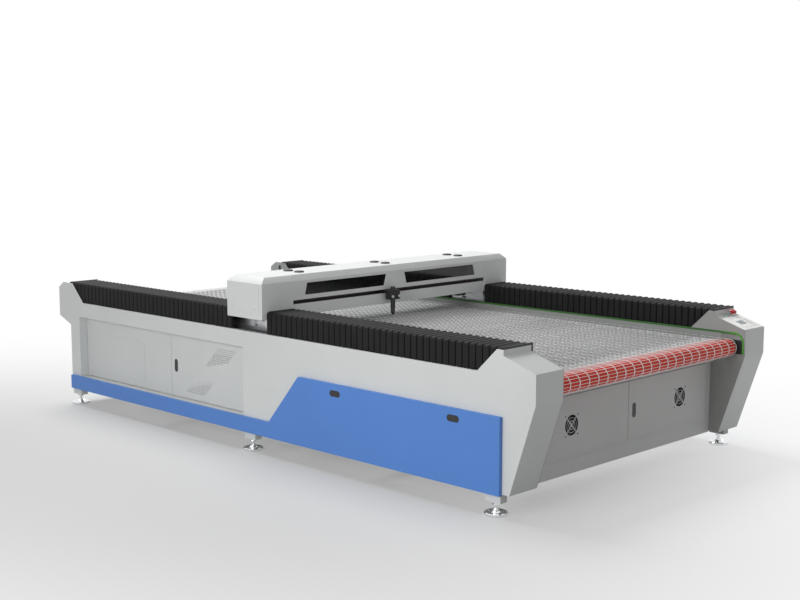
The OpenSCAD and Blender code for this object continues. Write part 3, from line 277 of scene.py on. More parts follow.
CONSOLE_GREY = finish_of("grey console field", (0.30, 0.31, 0.31), 0.5, grain=500.0)
KEYPAD = finish_of("white panel membrane", (0.90, 0.90, 0.89), 0.5, grain=800.0)
KEY_CAP = finish_of("pale yellow key caps", (0.70, 0.69, 0.52), 0.45, grain=600.0)


def clear_material(name, colour, rough, alpha):
    """A thin clear or tinted sheet: its gloss stays whole while its body lets light by."""
    m, nodes, links, shader = new_material(name)
    vector = object_coordinates(nodes, links, (1, 1, 1))
    links.new(ramp(nodes, links, noise(nodes, links, vector, 3.0), [
        (0.3, shade(colour, 0.94)), (0.7, colour)
    ]), shader.inputs["Base Color"])
    links.new(to_range(nodes, links, noise(nodes, links, vector, 40.0), rough, rough + 0.03),
              shader.inputs["Roughness"])
    shader.inputs["Alpha"].default_value = alpha
    return m


SMOKED = clear_material("smoked acrylic", (0.014, 0.014, 0.015), 0.06, 0.62)
TUBE_GLASS = clear_material("clear borosilicate glass", (0.75, 0.80, 0.82), 0.04, 0.4)


def bellows_material():
    m, nodes, links, shader = new_material("coated bellows fabric")
    vector = object_coordinates(nodes, links, (1, 1, 1))
    patches = ramp(nodes, links, noise(nodes, links, vector, 9.0, 4.0), [
        (0.3, (0.009, 0.009, 0.0095)), (0.7, (0.013, 0.013, 0.0135))
    ])
    links.new(patches, shader.inputs["Base Color"])
    weave = nodes.new("ShaderNodeTexVoronoi")
    weave.inputs["Scale"].default_value = 850.0
    links.new(vector, weave.inputs["Vector"])
    links.new(to_range(nodes, links, weave.outputs["Distance"], 0.52, 0.7),
              shader.inputs["Roughness"])
    bump(nodes, links, weave.outputs["Distance"], 0.5, 0.0002, shader)
    shader.inputs["Specular IOR Level"].default_value = 0.14
    return m


BELLOWS_FABRIC = bellows_material()


def two_tone(name, inner, outer, axis, first, last, rough, grain=220.0, grain_depth=0.00004):
    """A finish that turns from one colour to another between two distances along an axis."""
    m, nodes, links, shader = new_material(name)
    vector = object_coordinates(nodes, links, (1, 1, 1))
    patches = noise(nodes, links, vector, 9.0, 4.0)
    tones = [
        ramp(nodes, links, patches, [(0.3, shade(c, 0.93)), (0.7, shade(c, 1.07))])
        for c in (inner, outer)
    ]
    out = calc(nodes, links, "ABSOLUTE", axes_of(nodes, links, vector)[axis])
    share = to_range(nodes, links, out, 0.0, 1.0, first, last)
    links.new(colour_mix(nodes, links, "MIX", share, *tones), shader.inputs["Base Color"])
    fine = noise(nodes, links, vector, grain)
    links.new(to_range(nodes, links, fine, rough - 0.05, rough + 0.05),
              shader.inputs["Roughness"])
    bump(nodes, links, fine, 0.35, grain_depth, shader)
    return m


# steps of the painted highlights of the bed, bright spots that stand in for glints, and where its flat turns
# down round a roller
GLINT_STEP = {"X": 39.3 * MM, "Y": 53.4 * MM}
FLAT_ENDS = (1.93, 1.97)


def paint_glints(m, low):
    """Paints staggered highlights over the flat of the mesh bed, two to each lane of links: bright spots
    that stand in for glints, with the colour darker between them.
    """
    nodes, links = m.node_tree.nodes, m.node_tree.links
    colour = nodes["Principled BSDF"].inputs["Base Color"]
    plain = colour.links[0].from_socket
    axes = axes_of(nodes, links, object_coordinates(nodes, links, (1, 1, 1)))
    waves = [
        calc(nodes, links, "COSINE",
             calc(nodes, links, "MULTIPLY", axes[axis], math.tau / step))
        for axis, step in GLINT_STEP.items()
    ]
    glints = calc(nodes, links, "MULTIPLY", *waves)
    tone = to_range(nodes, links, glints, low, 1.0, 0.0, 0.45, smooth=True)
    along = calc(nodes, links, "ABSOLUTE", axes["Y"])
    curve = to_range(nodes, links, along, 0.0, 1.0, *FLAT_ENDS)
    scaled = nodes.new("ShaderNodeVectorMath")
    scaled.operation = "SCALE"
    links.new(plain, scaled.inputs[0])
    links.new(calc(nodes, links, "MAXIMUM", tone, curve), scaled.inputs["Scale"])
    links.new(scaled.outputs["Vector"], colour)


# outside 766 mm from the middle the bed is painted near black: painted shade along the belt's edges beside
# the bellows
SLAT_STEEL_WITH_PAINTED_LIGHT = two_tone("galvanised bed with painted shade and glints", (0.93, 0.935, 0.94), (0.045, 0.046, 0.048), "X",
                      766 * MM, 768 * MM, 0.45)
# the bed and the wire both get painted highlights: bright spots for glints, darker between them
paint_glints(SLAT_STEEL_WITH_PAINTED_LIGHT, 0.70)
paint_glints(WIRE, 0.64)
# the edge rubber is painted dark green along its run beside the bellows, within 1.95 m of the middle:
# painted shade; it is bright green only at its front and rear ends
GREEN_RUBBER_SHADED = two_tone("green edge rubber with painted shade", (0.03, 0.13, 0.018), (0.075, 0.34, 0.028), "Y",
                        1.95, 2.07, 0.55, 400.0, 0.0001)
# the bearing housings are painted near black below 683 to 687 mm and grey above: the black is painted shade
# of the deep gap at the roller ends
BEARING_PAINT_SHADED = two_tone("bearing housing paint with painted shade", (0.012, 0.012, 0.013), (0.30, 0.31, 0.30), "Z",
                         683 * MM, 687 * MM, 0.5)


def display_material(left, width, rows):
    """A dim backlit screen with a header bar, rows of short bars and a grey field."""
    m, nodes, links, shader = new_material("display glass")
    vector = object_coordinates(nodes, links, (1, 1, 1))
    x = axes_of(nodes, links, vector)["X"]
    across = to_range(nodes, links, x, 0.0, 1.0, left, left + width)
    bands = ramp(nodes, links, across, [
        (0.0, (0.16, 0.19, 0.22)), (0.08, (0.22, 0.26, 0.30)), (0.62, (0.22, 0.26, 0.30)),
        (0.66, (0.19, 0.22, 0.25)), (0.94, (0.19, 0.22, 0.25)), (1.0, (0.16, 0.19, 0.22))
    ])
    wave = nodes.new("ShaderNodeTexWave")
    wave.wave_type = "BANDS"
    wave.bands_direction = "Z"
    wave.inputs["Scale"].default_value = rows
    links.new(vector, wave.inputs["Vector"])
    lines = ramp(nodes, links, wave.outputs["Fac"], [(0.35, (0.8, 0.8, 0.8)), (0.5, (1, 1, 1))])
    links.new(colour_mix(nodes, links, "MULTIPLY", 1.0, bands, lines),
              shader.inputs["Base Color"])
    fine = noise(nodes, links, vector, 60.0, 2.0)
    links.new(to_range(nodes, links, fine, 0.08, 0.14), shader.inputs["Roughness"])
    return m


FINISHES = {
    INNER_PAINT: "inner_walls inner_baffle",
    GREY_PAINT: """side_panels front_corner_covers rear_corner_covers
        recess_panels access_cover gantry_cover gantry_end_boxes end_plates side_door
        front_panel gantry_beam frame_posts""",
    GREY_PAINT_SHADED: "rear_panel left_front_door right_front_door",
    FRAME_PAINT: "frame_rails cross_members",
    BLUE_PAINT: "skirts",
    GREEN_RUBBER_SHADED: "edge_trims",
    CHROME: "foot_pads foot_studs",
    STEEL: "front_roller rear_roller button_bases bracket_knobs",
    ZINC_SHEET: "exhaust_hopper electronics_plate",
    ALUMINIUM: "y_modules gantry_saddles",
    SLAT_STEEL_WITH_PAINTED_LIGHT: "bed_table",
    BLACK_ANODISED: "x_module",
    BEARING_PAINT_SHADED: "roller_bearings",
    BLACK_METAL: """hinge_posts conveyor_motor bellows_end_frames
        optics_mounts head_carriage lens_tube""",
    BLACK_PLASTIC: """top_caps side_door_paddle front_door_paddle skirt_front_paddle
        skirt_rear_paddle left_fan_housing right_fan_housing left_fan_rotor
        right_fan_rotor drag_chain""",
    RED_RUBBER: "roller_sleeve",
    RED_PLASTIC: "stop_button",
    GREEN_PLASTIC: "start_button",
    WHITE_GLOSS: "console_bezel",
    KEYPAD: "control_panel",
    SMOKED: "gantry_windows",
    TUBE_GLASS: "laser_tube",
    WIRE: "mesh_belt",
    BELLOWS_FABRIC: "front_bellows rear_bellows",
}


def dress(node, material):
    """Gives a CAD piece one finish all over."""
    mesh = NODES[node].data
    mesh.materials.clear()
    mesh.materials.append(material)


for material, names in FINISHES.items():
    for node in names.split():
        dress(node, material)

# ---- modelling helpers ----


def deselect():
    if bpy.context.object and bpy.context.object.mode != "OBJECT":
        bpy.ops.object.mode_set(mode="OBJECT")
    bpy.ops.object.select_all(action="DESELECT")


def box_at(name, low, high):
    """A cube primitive that fills the space between two corners."""
    deselect()
    low, high = Vector(low), Vector(high)
    bpy.ops.mesh.primitive_cube_add(size=1, location=(low + high) / 2, scale=high - low)
    o = bpy.context.object
    o.name = o.data.name = name
    bpy.ops.object.transform_apply(location=True, rotation=True, scale=True)
    return o


def rod_at(name, centre, radius, depth, axis, sides=24):
    """A cylinder primitive with its middle at centre, along X, Y or Z."""
    deselect()
    turn = {"X": (0, math.pi / 2, 0), "Y": (math.pi / 2, 0, 0), "Z": (0, 0, 0)}[axis]
    bpy.ops.mesh.primitive_cylinder_add(
        vertices=sides, radius=radius, depth=depth, location=centre, rotation=turn
    )
    o = bpy.context.object
    o.name = o.data.name = name
    bpy.ops.object.transform_apply(location=True, rotation=True, scale=True)
    return o


def select_in_edit(o, kind, test):
    """Goes into edit mode on o with only the parts selected that pass the test."""
    deselect()
    o.select_set(True)
    bpy.context.view_layer.objects.active = o
    bpy.ops.object.mode_set(mode="EDIT")
    bpy.ops.mesh.select_mode(type=kind)
    bpy.ops.mesh.select_all(action="DESELECT")
    bm = bmesh.from_edit_mesh(o.data)
    parts = {"VERT": bm.verts, "EDGE": bm.edges, "FACE": bm.faces}[kind]
    parts.ensure_lookup_table()
    for p in parts:
        if test(p):
            p.select_set(True)
    bm.select_flush_mode()
    bmesh.update_edit_mesh(o.data)


def middle(edge):
    return (edge.verts[0].co + edge.verts[1].co) / 2


def apply_modifier(o, kind, **settings):
    deselect()
    o.select_set(True)
    bpy.context.view_layer.objects.active = o
    m = o.modifiers.new(kind.lower(), kind)
    for key, value in settings.items():
        setattr(m, key, value)
    bpy.ops.object.modifier_apply(modifier=m.name)


def finish_piece(o, material, body=None, angle=40):
    """The last steps of a modelled piece: finish, shading, material slot and body."""
    o.data.materials.clear()
    o.data.materials.append(material)
    deselect()
    o.select_set(True)
    bpy.context.view_layer.objects.active = o
    bpy.ops.object.shade_smooth_by_angle(angle=math.radians(angle))
    if body:
        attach(o, body)
    return o


def copies_of(master, places, name):
    """One object that holds a copy of the master's mesh at each place, given as matrices."""
    deselect()
    made = []
    for i, place in enumerate(places):
        c = bpy.data.objects.new(f"{name}_{i}", master.data.copy())
        bpy.context.scene.collection.objects.link(c)
        c.data.transform(place)
        made.append(c)
        c.select_set(True)
    bpy.context.view_layer.objects.active = made[0]
    if len(made) > 1:
        bpy.ops.object.join()
    whole = bpy.context.object
    whole.name = whole.data.name = name
    return whole


def discard(o):
    bpy.data.objects.remove(o)


# ---- bellows ----

PLEAT = 45 * MM
GROOVE = 9 * MM
GROOVE_DEPTH = 15 * MM
CORNER_CUT = 9 * MM
TOOTH_DROP = 6 * MM


def bellows_run(name, node, side):
    """One pleated way cover of coated fabric: a pleat is modelled, then repeated along Y."""
    co = np.array([v.co for v in NODES[node].data.vertices])
    mine = co[co[:, 0] * side > 0]
    x0, x1 = mine[:, 0].min(), mine[:, 0].max()
    z0, z1 = mine[:, 2].min(), mine[:, 2].max()
    y0, y1 = mine[:, 1].min(), mine[:, 1].max()
    count = round((y1 - y0) / PLEAT)
    step = (y1 - y0) / count
    o = box_at(name, (x0, y0, z0), (x1, y0 + step, z1))
    select_in_edit(o, "FACE", lambda f: abs(f.normal.y) > 0.9 or f.normal.z < -0.9)
    bpy.ops.mesh.delete(type="FACE")
    select_in_edit(o, "EDGE", lambda e: abs(middle(e).z - z1) < 1e-5
                   and abs(e.verts[0].co.y - e.verts[1].co.y) > step / 2)
    bpy.ops.mesh.bevel(offset=CORNER_CUT, segments=1)
    shoulders = (y0 + GROOVE / 2, y0 + step - GROOVE / 2)
    crown = (y0 + step * 0.35, y0 + step * 0.65)
    for y in (*shoulders, *crown):
        bpy.ops.mesh.select_all(action="SELECT")
        bpy.ops.mesh.bisect(plane_co=(0, y, 0), plane_no=(0, 1, 0))
    bpy.ops.object.mode_set(mode="OBJECT")
    select_in_edit(o, "VERT", lambda v: v.co.z > z1 - 1.1 * CORNER_CUT
                   and min(abs(v.co.y - y) for y in shoulders) < 1e-5)
    bpy.ops.transform.translate(value=(0, 0, -TOOTH_DROP))
    bpy.ops.object.mode_set(mode="OBJECT")
    width = x1 - x0
    select_in_edit(o, "VERT",
                   lambda v: min(abs(v.co.y - y0), abs(v.co.y - y0 - step)) < 1e-5)
    bpy.ops.transform.resize(
        value=(1 - 2 * GROOVE_DEPTH / width, 1, 1 - GROOVE_DEPTH / (z1 - z0)),
        center_override=((x0 + x1) / 2, 0, z0))
    bpy.ops.object.mode_set(mode="OBJECT")
    apply_modifier(o, "ARRAY", count=count, use_relative_offset=False,
                   use_constant_offset=True, constant_offset_displace=(0, step, 0),
                   use_merge_vertices=True, merge_threshold=0.0002)
    apply_modifier(o, "BEVEL", width=0.0012, segments=2, limit_method="ANGLE",
                   angle_limit=math.radians(25))
    apply_modifier(o, "SOLIDIFY", thickness=0.0018, offset=-1)
    finish_piece(o, BELLOWS_FABRIC, angle=50)
    return o, y0, y1


BLEND_WEIGHTS = "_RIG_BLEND"


def linear_weights(o, y_fixed, y_moving):
    """Every pleat opens or closes by the same share."""
    y = np.array([v.co.y for v in o.data.vertices])
    w = np.clip((y - y_fixed) / (y_moving - y_fixed), 0, 1).astype(np.float32)
    o.data.attributes[BLEND_WEIGHTS].data.foreach_set("value", w)


def make_bellows():
    for side, hand in ((-1, "left"), (1, "right")):
        for node, moving_is_high in (("front_bellows", True), ("rear_bellows", False)):
            o, y0, y1 = bellows_run(f"{hand}_{node}", node, side)
            fixed, moving = (y0, y1) if moving_is_high else (y1, y0)
            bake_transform(o, "base", "gantry", start=(0, fixed, 0), end=(0, moving, 0))
            linear_weights(o, fixed, moving)
            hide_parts(node)


make_bellows()

# ---- mesh belt ----

BELT_T = 2.7 * MM
ROD_PITCH = 17.8 * MM
LANES = 22
LANE_PITCH = 78.6 * MM
LINK_W = 5 * MM
LINK_STAGGER = 1 * MM
LINK_T = 1.2 * MM
LINK_LAP = 3 * MM
ROD_R = 1.3 * MM
BELT_EDGE = 2 * MM


def belt_point(x, s, lift):
    """A point of the belt: across, along from the foot of the front roller, and out of its middle."""
    r = ROLLER_R - BELT_T / 2
    straight = REAR_ROLLER_Y - FRONT_ROLLER_Y
    arc = math.pi * r
    s = np.asarray(s, float) % (2 * (arc + straight))
    y, z = np.empty_like(s), np.empty_like(s)
    out = r + lift
    a = s < arc
    t = -np.pi / 2 - s / r
    y[a] = FRONT_ROLLER_Y + (out * np.cos(t))[a]
    z[a] = ROLLER_Z + (out * np.sin(t))[a]
    b = (s >= arc) & (s < arc + straight)
    y[b] = FRONT_ROLLER_Y + (s - arc)[b]
    z[b] = ROLLER_Z + (out * np.ones_like(s))[b]
    c = (s >= arc + straight) & (s < 2 * arc + straight)
    t = np.pi / 2 - (s - arc - straight) / r
    y[c] = REAR_ROLLER_Y + (out * np.cos(t))[c]
    z[c] = ROLLER_Z + (out * np.sin(t))[c]
    d = s >= 2 * arc + straight
    y[d] = REAR_ROLLER_Y - (s - 2 * arc - straight)[d]
    z[d] = ROLLER_Z - (out * np.ones_like(s))[d]
    return np.stack([x, y, z], axis=-1)


def wrap_belt(o):
    """Bends a flat strip of belt, modelled along Y with its middle at Z 0, round the rollers."""
    mesh = o.data
    co = np.empty(len(mesh.vertices) * 3)
    mesh.vertices.foreach_get("co", co)
    co = co.reshape(-1, 3)
    placed = belt_point(co[:, 0], co[:, 1], co[:, 2])
    mesh.vertices.foreach_set("co", placed.ravel())
    mesh.update()


def belt_length():
    return 2 * math.pi * (ROLLER_R - BELT_T / 2) + 2 * (REAR_ROLLER_Y - FRONT_ROLLER_Y)


def make_belt():
    """Cross rods all round, joined row by row by short flat links in staggered lanes."""
    rows = 2 * round(belt_length() / ROD_PITCH / 2)
    pitch = belt_length() / rows
    across = BELT_X - BELT_EDGE

    rods = rod_at("belt_rods", (0, 0, 0), ROD_R, 2 * across, "X", sides=6)
    select_in_edit(rods, "FACE", lambda f: abs(f.normal.x) > 0.9)
    bpy.ops.mesh.inset(thickness=0.4 * MM, depth=0)
    bpy.ops.object.mode_set(mode="OBJECT")
    apply_modifier(rods, "ARRAY", count=rows, use_relative_offset=False,
                   use_constant_offset=True, constant_offset_displace=(0, pitch, 0))
    wrap_belt(rods)
    finish_piece(rods, WIRE, "base")

    half = (LINK_W / 2, (pitch + LINK_LAP) / 2, LINK_T / 2)
    pair = []
    for row, shift in ((0, -LINK_STAGGER), (1, LINK_STAGGER)):
        middle_at = Vector((LANE_PITCH / 2 - LANES / 2 * LANE_PITCH + shift,
                            row * pitch, BELT_T / 2 - half[2]))
        pair.append(box_at("belt_links", middle_at - Vector(half), middle_at + Vector(half)))
    deselect()
    for link in pair:
        link.select_set(True)
    bpy.context.view_layer.objects.active = pair[0]
    bpy.ops.object.join()
    links = bpy.context.object
    apply_modifier(links, "ARRAY", count=rows // 2, use_relative_offset=False,
                   use_constant_offset=True, constant_offset_displace=(0, 2 * pitch, 0))
    apply_modifier(links, "ARRAY", count=LANES, use_relative_offset=False,
                   use_constant_offset=True, constant_offset_displace=(LANE_PITCH, 0, 0))
    wrap_belt(links)
    finish_piece(links, WIRE, "base")
    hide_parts("mesh_belt")


make_belt()

# ---- softened sheet metal ----


def softened(node, material, edge=0.9 * MM):
    """A copy of a sheet part whose sharp corners are rounded as folds and cut edges are."""
    o = bpy.data.objects.new(f"{node}_folded", NODES[node].data.copy())
    bpy.context.scene.collection.objects.link(o)
    select_in_edit(o, "FACE", lambda f: True)
    bpy.ops.mesh.remove_doubles(threshold=0.00001)
    bpy.ops.mesh.dissolve_limited(angle_limit=math.radians(0.5))
    bpy.ops.object.mode_set(mode="OBJECT")
    apply_modifier(o, "BEVEL", width=edge, segments=2, limit_method="ANGLE",
                   angle_limit=math.radians(35))
    finish_piece(o, material, body_of(NODES[node])[0], angle=15)
    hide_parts(node)


for node in """gantry_end_boxes end_plates gantry_cover skirts front_corner_covers
        rear_corner_covers side_panels""".split():
    softened(node, NODES[node].data.materials[0])

# ---- fittings ----


def facing(at, direction):
    """Places a fitting modelled upright at the origin, with its head towards a direction."""
    turn = Vector(direction).to_track_quat("Z", "Y").to_matrix().to_4x4()
    return Matrix.Translation(Vector(at)) @ turn


def screw_head(radius, height, sides=16):
    """A domed socket head screw that stands on the origin, with a sixteen-sided socket sunk in its top."""
    o = rod_at("screw_head", (0, 0, height / 2), radius, height, "Z", sides)
    select_in_edit(o, "EDGE", lambda e: min(v.co.z for v in e.verts) > height * 0.9)
    bpy.ops.mesh.bevel(offset=height * 0.45, segments=2)
    bpy.ops.object.mode_set(mode="OBJECT")
    select_in_edit(o, "FACE", lambda f: f.normal.z > 0.95)
    bpy.ops.mesh.inset(thickness=(radius - height * 0.45) * 0.35, depth=0)
    bpy.ops.mesh.extrude_region_move(
        TRANSFORM_OT_translate={"value": (0, 0, -height * 0.6)})
    bpy.ops.object.mode_set(mode="OBJECT")
    return o


def set_screws(name, places, radius, height, material, body):
    master = screw_head(radius, height)
    screws = copies_of(master, places, name)
    discard(master)
    return finish_piece(screws, material, body)


FAN_X, FAN_Z = 508 * MM, 377 * MM
GUARD_SCREW = 52.5 * MM
DOOR_FACE = span("left_front_door")[0][1]
END_PLATE_Y, END_PLATE_Z = (-63 * MM, 139 * MM), (861 * MM, 985 * MM)
COVER_SCREW_IN = 14 * MM
END_FRAME_X, END_FRAME_Z = (915 * MM, 1020 * MM), 826 * MM


def make_screws():
    for side, hand in ((-1, "left"), (1, "right")):
        places = [
            facing((side * FAN_X + dx, DOOR_FACE + 0.1 * MM, FAN_Z + dz), (0, -1, 0))
            for dx in (-GUARD_SCREW, GUARD_SCREW) for dz in (-GUARD_SCREW, GUARD_SCREW)
        ]
        set_screws(f"{hand}_guard_screws", places, 4 * MM, 2.2 * MM, BLACK_METAL,
                   f"{hand}_front_leaf")
    plate = span("end_plates")
    places = [
        facing((side * (plate[1][0] - 1.7 * MM), y, z), (side, 0, 0))
        for side in (-1, 1) for y in END_PLATE_Y for z in END_PLATE_Z
    ]
    set_screws("end_plate_screws", places, 3.7 * MM, 1.8 * MM, STEEL, "gantry")
    cover_low, cover_high = span("access_cover")
    places = [
        facing((cover_low[0] + 1.5 * MM, y, z), (-1, 0, 0))
        for y in (cover_low[1] + COVER_SCREW_IN, cover_high[1] - COVER_SCREW_IN)
        for z in (cover_low[2] + COVER_SCREW_IN, cover_high[2] - COVER_SCREW_IN)
    ]
    set_screws("access_cover_screws", places, 4.6 * MM, 2 * MM, GREY_PAINT, "base")
    front = span("bellows_end_frames")[0][1]
    places = [
        facing((side * x, front - 1.9 * MM, END_FRAME_Z), (0, -1, 0))
        for side in (-1, 1) for x in END_FRAME_X
    ]
    set_screws("end_frame_screws", places, 4 * MM, 2 * MM, STEEL, "base")


make_screws()


def plate_piece(name, low, high, round_by, axis, material, body):
    """A flat plate whose four corners are rounded across its thin direction."""
    o = box_at(name, low, high)
    select_in_edit(o, "EDGE", lambda e: abs(
        (e.verts[0].co - e.verts[1].co).normalized()[axis]) > 0.99)
    bpy.ops.mesh.bevel(offset=round_by, segments=4)
    bpy.ops.object.mode_set(mode="OBJECT")
    apply_modifier(o, "BEVEL", width=0.3 * MM, segments=1, limit_method="ANGLE",
                   angle_limit=math.radians(60))
    return finish_piece(o, material, body)


GROMMET_Y, GROMMET_Z = (2.0085, 2.0335), (0.785, 0.823)
END_ANGLE_FOOT = 0.790
WIPER_X, WIPER_BACK_Y = 0.854, -0.0725
CLIP_X = (0.600, 0.690)


def make_fittings():
    # rubber grommet where the wiring enters the rear right housing
    x = span("inner_walls")[1][0] - 24 * MM
    grommet = plate_piece("wiring_grommet", (x - 2 * MM, GROMMET_Y[0], GROMMET_Z[0]),
                          (x, GROMMET_Y[1], GROMMET_Z[1]), 12 * MM, 0, BLACK_PLASTIC, "base")
    select_in_edit(grommet, "FACE", lambda f: f.normal.x < -0.95)
    bpy.ops.mesh.inset(thickness=4 * MM, depth=0)
    bpy.ops.mesh.extrude_region_move(TRANSFORM_OT_translate={"value": (1.5 * MM, 0, 0)})
    bpy.ops.object.mode_set(mode="OBJECT")

    # black angle that closes the inner edge of the left front bellows end
    frame_low, frame_high = span("bellows_end_frames")
    wall = span("edge_trims")[1][0]
    plate_piece("left_end_frame_angle", (-wall, frame_low[1] - 1 * MM, END_ANGLE_FOOT),
                (14 * MM - wall, frame_low[1] + 3 * MM, frame_high[2]), 2 * MM, 1,
                BLACK_METAL, "base")

    # dark strip along the top of the beam, under the carriage arm: a dark sheet that paints the shade of the
    # slot below the cover
    beam_low, beam_high = span("gantry_beam")
    plate_piece("beam_shade_strip", (-WIPER_X, beam_low[1] + 0.5 * MM, beam_high[2]),
                (WIPER_X, WIPER_BACK_Y, beam_high[2] + 3 * MM), 2 * MM, 2, BRUSH_RUBBER,
                "gantry")
    # bracket that carries the beam's cable clip
    plate_piece("beam_cable_bracket", (CLIP_X[0], beam_low[1] + 8 * MM, beam_low[2] - 14 * MM),
                (CLIP_X[1], beam_low[1] + 40 * MM, beam_low[2]), 4 * MM, 1, BLACK_METAL,
                "gantry")


make_fittings()

# ---- console ----

CONSOLE_SLOPE = math.atan2(66, 203)
CONSOLE = Matrix.Translation((0, span("console_bezel")[0][1], 745 * MM)) @ \
    Matrix.Rotation(CONSOLE_SLOPE, 4, "X")
PANEL_X = (895 * MM, 1053 * MM)
PANEL_S = (26 * MM, 127 * MM)
PANEL_TOP = 4 * MM
BEZEL_X, BEZEL_S = (857 * MM, 1064 * MM), (5 * MM, 168 * MM)
BEZEL_RIM = 9 * MM
PANEL_RIM = 8 * MM
SCREEN_X, SCREEN_S = (912 * MM, 984 * MM), (63 * MM, 111 * MM)
KEY_STEP = 14 * MM
FIRST_KEY = (997.5 * MM, 40.5 * MM)


def on_console(o):
    o.data.transform(CONSOLE)
    return o


def console_sheet(name, low, high, window, material):
    """A thin sheet on the console's slope, cut out inside a window where it has one."""
    o = box_at(name, low, high)
    if window:
        (wx0, wy0), (wx1, wy1) = window
        for co, no in (((wx0, 0, 0), (1, 0, 0)), ((wx1, 0, 0), (1, 0, 0)),
                       ((0, wy0, 0), (0, 1, 0)), ((0, wy1, 0), (0, 1, 0))):
            select_in_edit(o, "FACE", lambda f: True)
            bpy.ops.mesh.bisect(plane_co=co, plane_no=no)
            bpy.ops.object.mode_set(mode="OBJECT")
        select_in_edit(o, "FACE", lambda f: abs(f.normal.z) > 0.9
                       and wx0 < f.calc_center_median().x < wx1
                       and wy0 < f.calc_center_median().y < wy1)
        bpy.ops.mesh.bridge_edge_loops()
        bpy.ops.object.mode_set(mode="OBJECT")
    apply_modifier(o, "BEVEL", width=0.15 * MM, segments=1, limit_method="ANGLE",
                   angle_limit=math.radians(60))
    return finish_piece(on_console(o), material, "base")


def make_console():
    console_sheet("bezel_field", (BEZEL_X[0] + BEZEL_RIM, BEZEL_S[0] + BEZEL_RIM, 3 * MM),
                  (BEZEL_X[1] - BEZEL_RIM, BEZEL_S[1] - BEZEL_RIM, 3.3 * MM),
                  ((PANEL_X[0] - 2 * MM, PANEL_S[0] - 2 * MM),
                   (PANEL_X[1] + 2 * MM, PANEL_S[1] + 2 * MM)), CONSOLE_GREY)
    console_sheet("panel_field", (PANEL_X[0] + PANEL_RIM, PANEL_S[0] + PANEL_RIM, PANEL_TOP),
                  (PANEL_X[1] - PANEL_RIM + 5 * MM, PANEL_S[1] - PANEL_RIM,
                   PANEL_TOP + 0.3 * MM),
                  ((SCREEN_X[0], SCREEN_S[0]), (SCREEN_X[1], SCREEN_S[1])), KEY_CAP)
    console_sheet("display_glass", (SCREEN_X[0] + 0.5 * MM, SCREEN_S[0] + 0.5 * MM, 3.02 * MM),
                  (SCREEN_X[1] - 0.5 * MM, SCREEN_S[1] - 0.5 * MM, 4.6 * MM), None,
                  display_material(SCREEN_X[0], SCREEN_X[1] - SCREEN_X[0], 90.0))

    key = box_at("key", (-4.4 * MM, -4.4 * MM, 5.5 * MM), (4.4 * MM, 4.4 * MM, 6.4 * MM))
    apply_modifier(key, "BEVEL", width=0.6 * MM, segments=2)
    places = [
        CONSOLE @ Matrix.Translation((FIRST_KEY[0] + i * KEY_STEP,
                                      FIRST_KEY[1] + j * KEY_STEP, 0))
        for i in range(4) for j in range(6)
    ]
    keys = copies_of(key, places, "key_caps")
    discard(key)
    finish_piece(keys, KEY_CAP, "base")


make_console()

# ---- energy chain ----

LINK = 30 * MM
CHAIN_TOP, CHAIN_LOW = 990 * MM, 934 * MM
CHAIN_TURN_X = 230 * MM
CHAIN_FIXED_X, CHAIN_MOVING_X = -550 * MM, -220 * MM
CHAIN_Y = -65 * MM
CHAIN_R = (CHAIN_TOP - CHAIN_LOW) / 2


def chain_link():
    """Two rounded side plates joined by a bar above and a bar below."""
    plate = box_at("chain_link", (-16.5 * MM, -28 * MM, -11 * MM), (16.5 * MM, -23.5 * MM, 11 * MM))
    select_in_edit(plate, "EDGE", lambda e: abs(e.verts[0].co.y - e.verts[1].co.y) > 4 * MM)
    bpy.ops.mesh.bevel(offset=8 * MM, segments=3)
    bpy.ops.object.mode_set(mode="OBJECT")
    apply_modifier(plate, "ARRAY", count=2, use_relative_offset=False,
                   use_constant_offset=True, constant_offset_displace=(0, 51.5 * MM, 0))
    bars = box_at("chain_bars", (-5 * MM, -24 * MM, 8 * MM), (5 * MM, 24 * MM, 11 * MM))
    apply_modifier(bars, "BEVEL", width=0.8 * MM, segments=1)
    apply_modifier(bars, "ARRAY", count=2, use_relative_offset=False,
                   use_constant_offset=True, constant_offset_displace=(0, 0, -19 * MM))
    plate.select_set(True)
    bpy.context.view_layer.objects.active = plate
    bars.select_set(True)
    bpy.ops.object.join()
    return bpy.context.object


def make_chain():
    places = []
    for run_z, end in ((CHAIN_TOP, CHAIN_FIXED_X), (CHAIN_LOW, CHAIN_MOVING_X)):
        count = round((CHAIN_TURN_X - end) / LINK)
        for k in range(count):
            places.append(Matrix.Translation((end + (k + 0.5) * LINK, CHAIN_Y, run_z)))
    turn = Matrix.Translation((CHAIN_TURN_X, CHAIN_Y, CHAIN_LOW + CHAIN_R))
    for k in range(3):
        angle = math.radians(30 + 60 * k)
        places.append(turn @ Matrix.Rotation(angle, 4, "Y") @ Matrix.Translation((0, 0, CHAIN_R)))
    master = chain_link()
    chain = copies_of(master, places, "energy_chain")
    discard(master)
    finish_piece(chain, BLACK_PLASTIC)
    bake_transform(chain, "gantry", "head", start=(CHAIN_FIXED_X, 0, 0), end=(CHAIN_TURN_X, 0, 0))
    co = np.array([v.co for v in chain.data.vertices])
    upper = co[:, 2] > CHAIN_LOW + CHAIN_R
    share_top = np.clip((co[:, 0] - CHAIN_FIXED_X) / (CHAIN_TURN_X - CHAIN_FIXED_X), 0, 1) / 2
    share_low = 1 - np.clip((co[:, 0] - CHAIN_MOVING_X)
                            / (CHAIN_TURN_X - CHAIN_MOVING_X), 0, 1) / 2
    w = np.where(upper, share_top, share_low).astype(np.float32)
    chain.data.attributes[BLEND_WEIGHTS].data.foreach_set("value", w)
    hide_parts("drag_chain")


make_chain()

# ---- studio ----


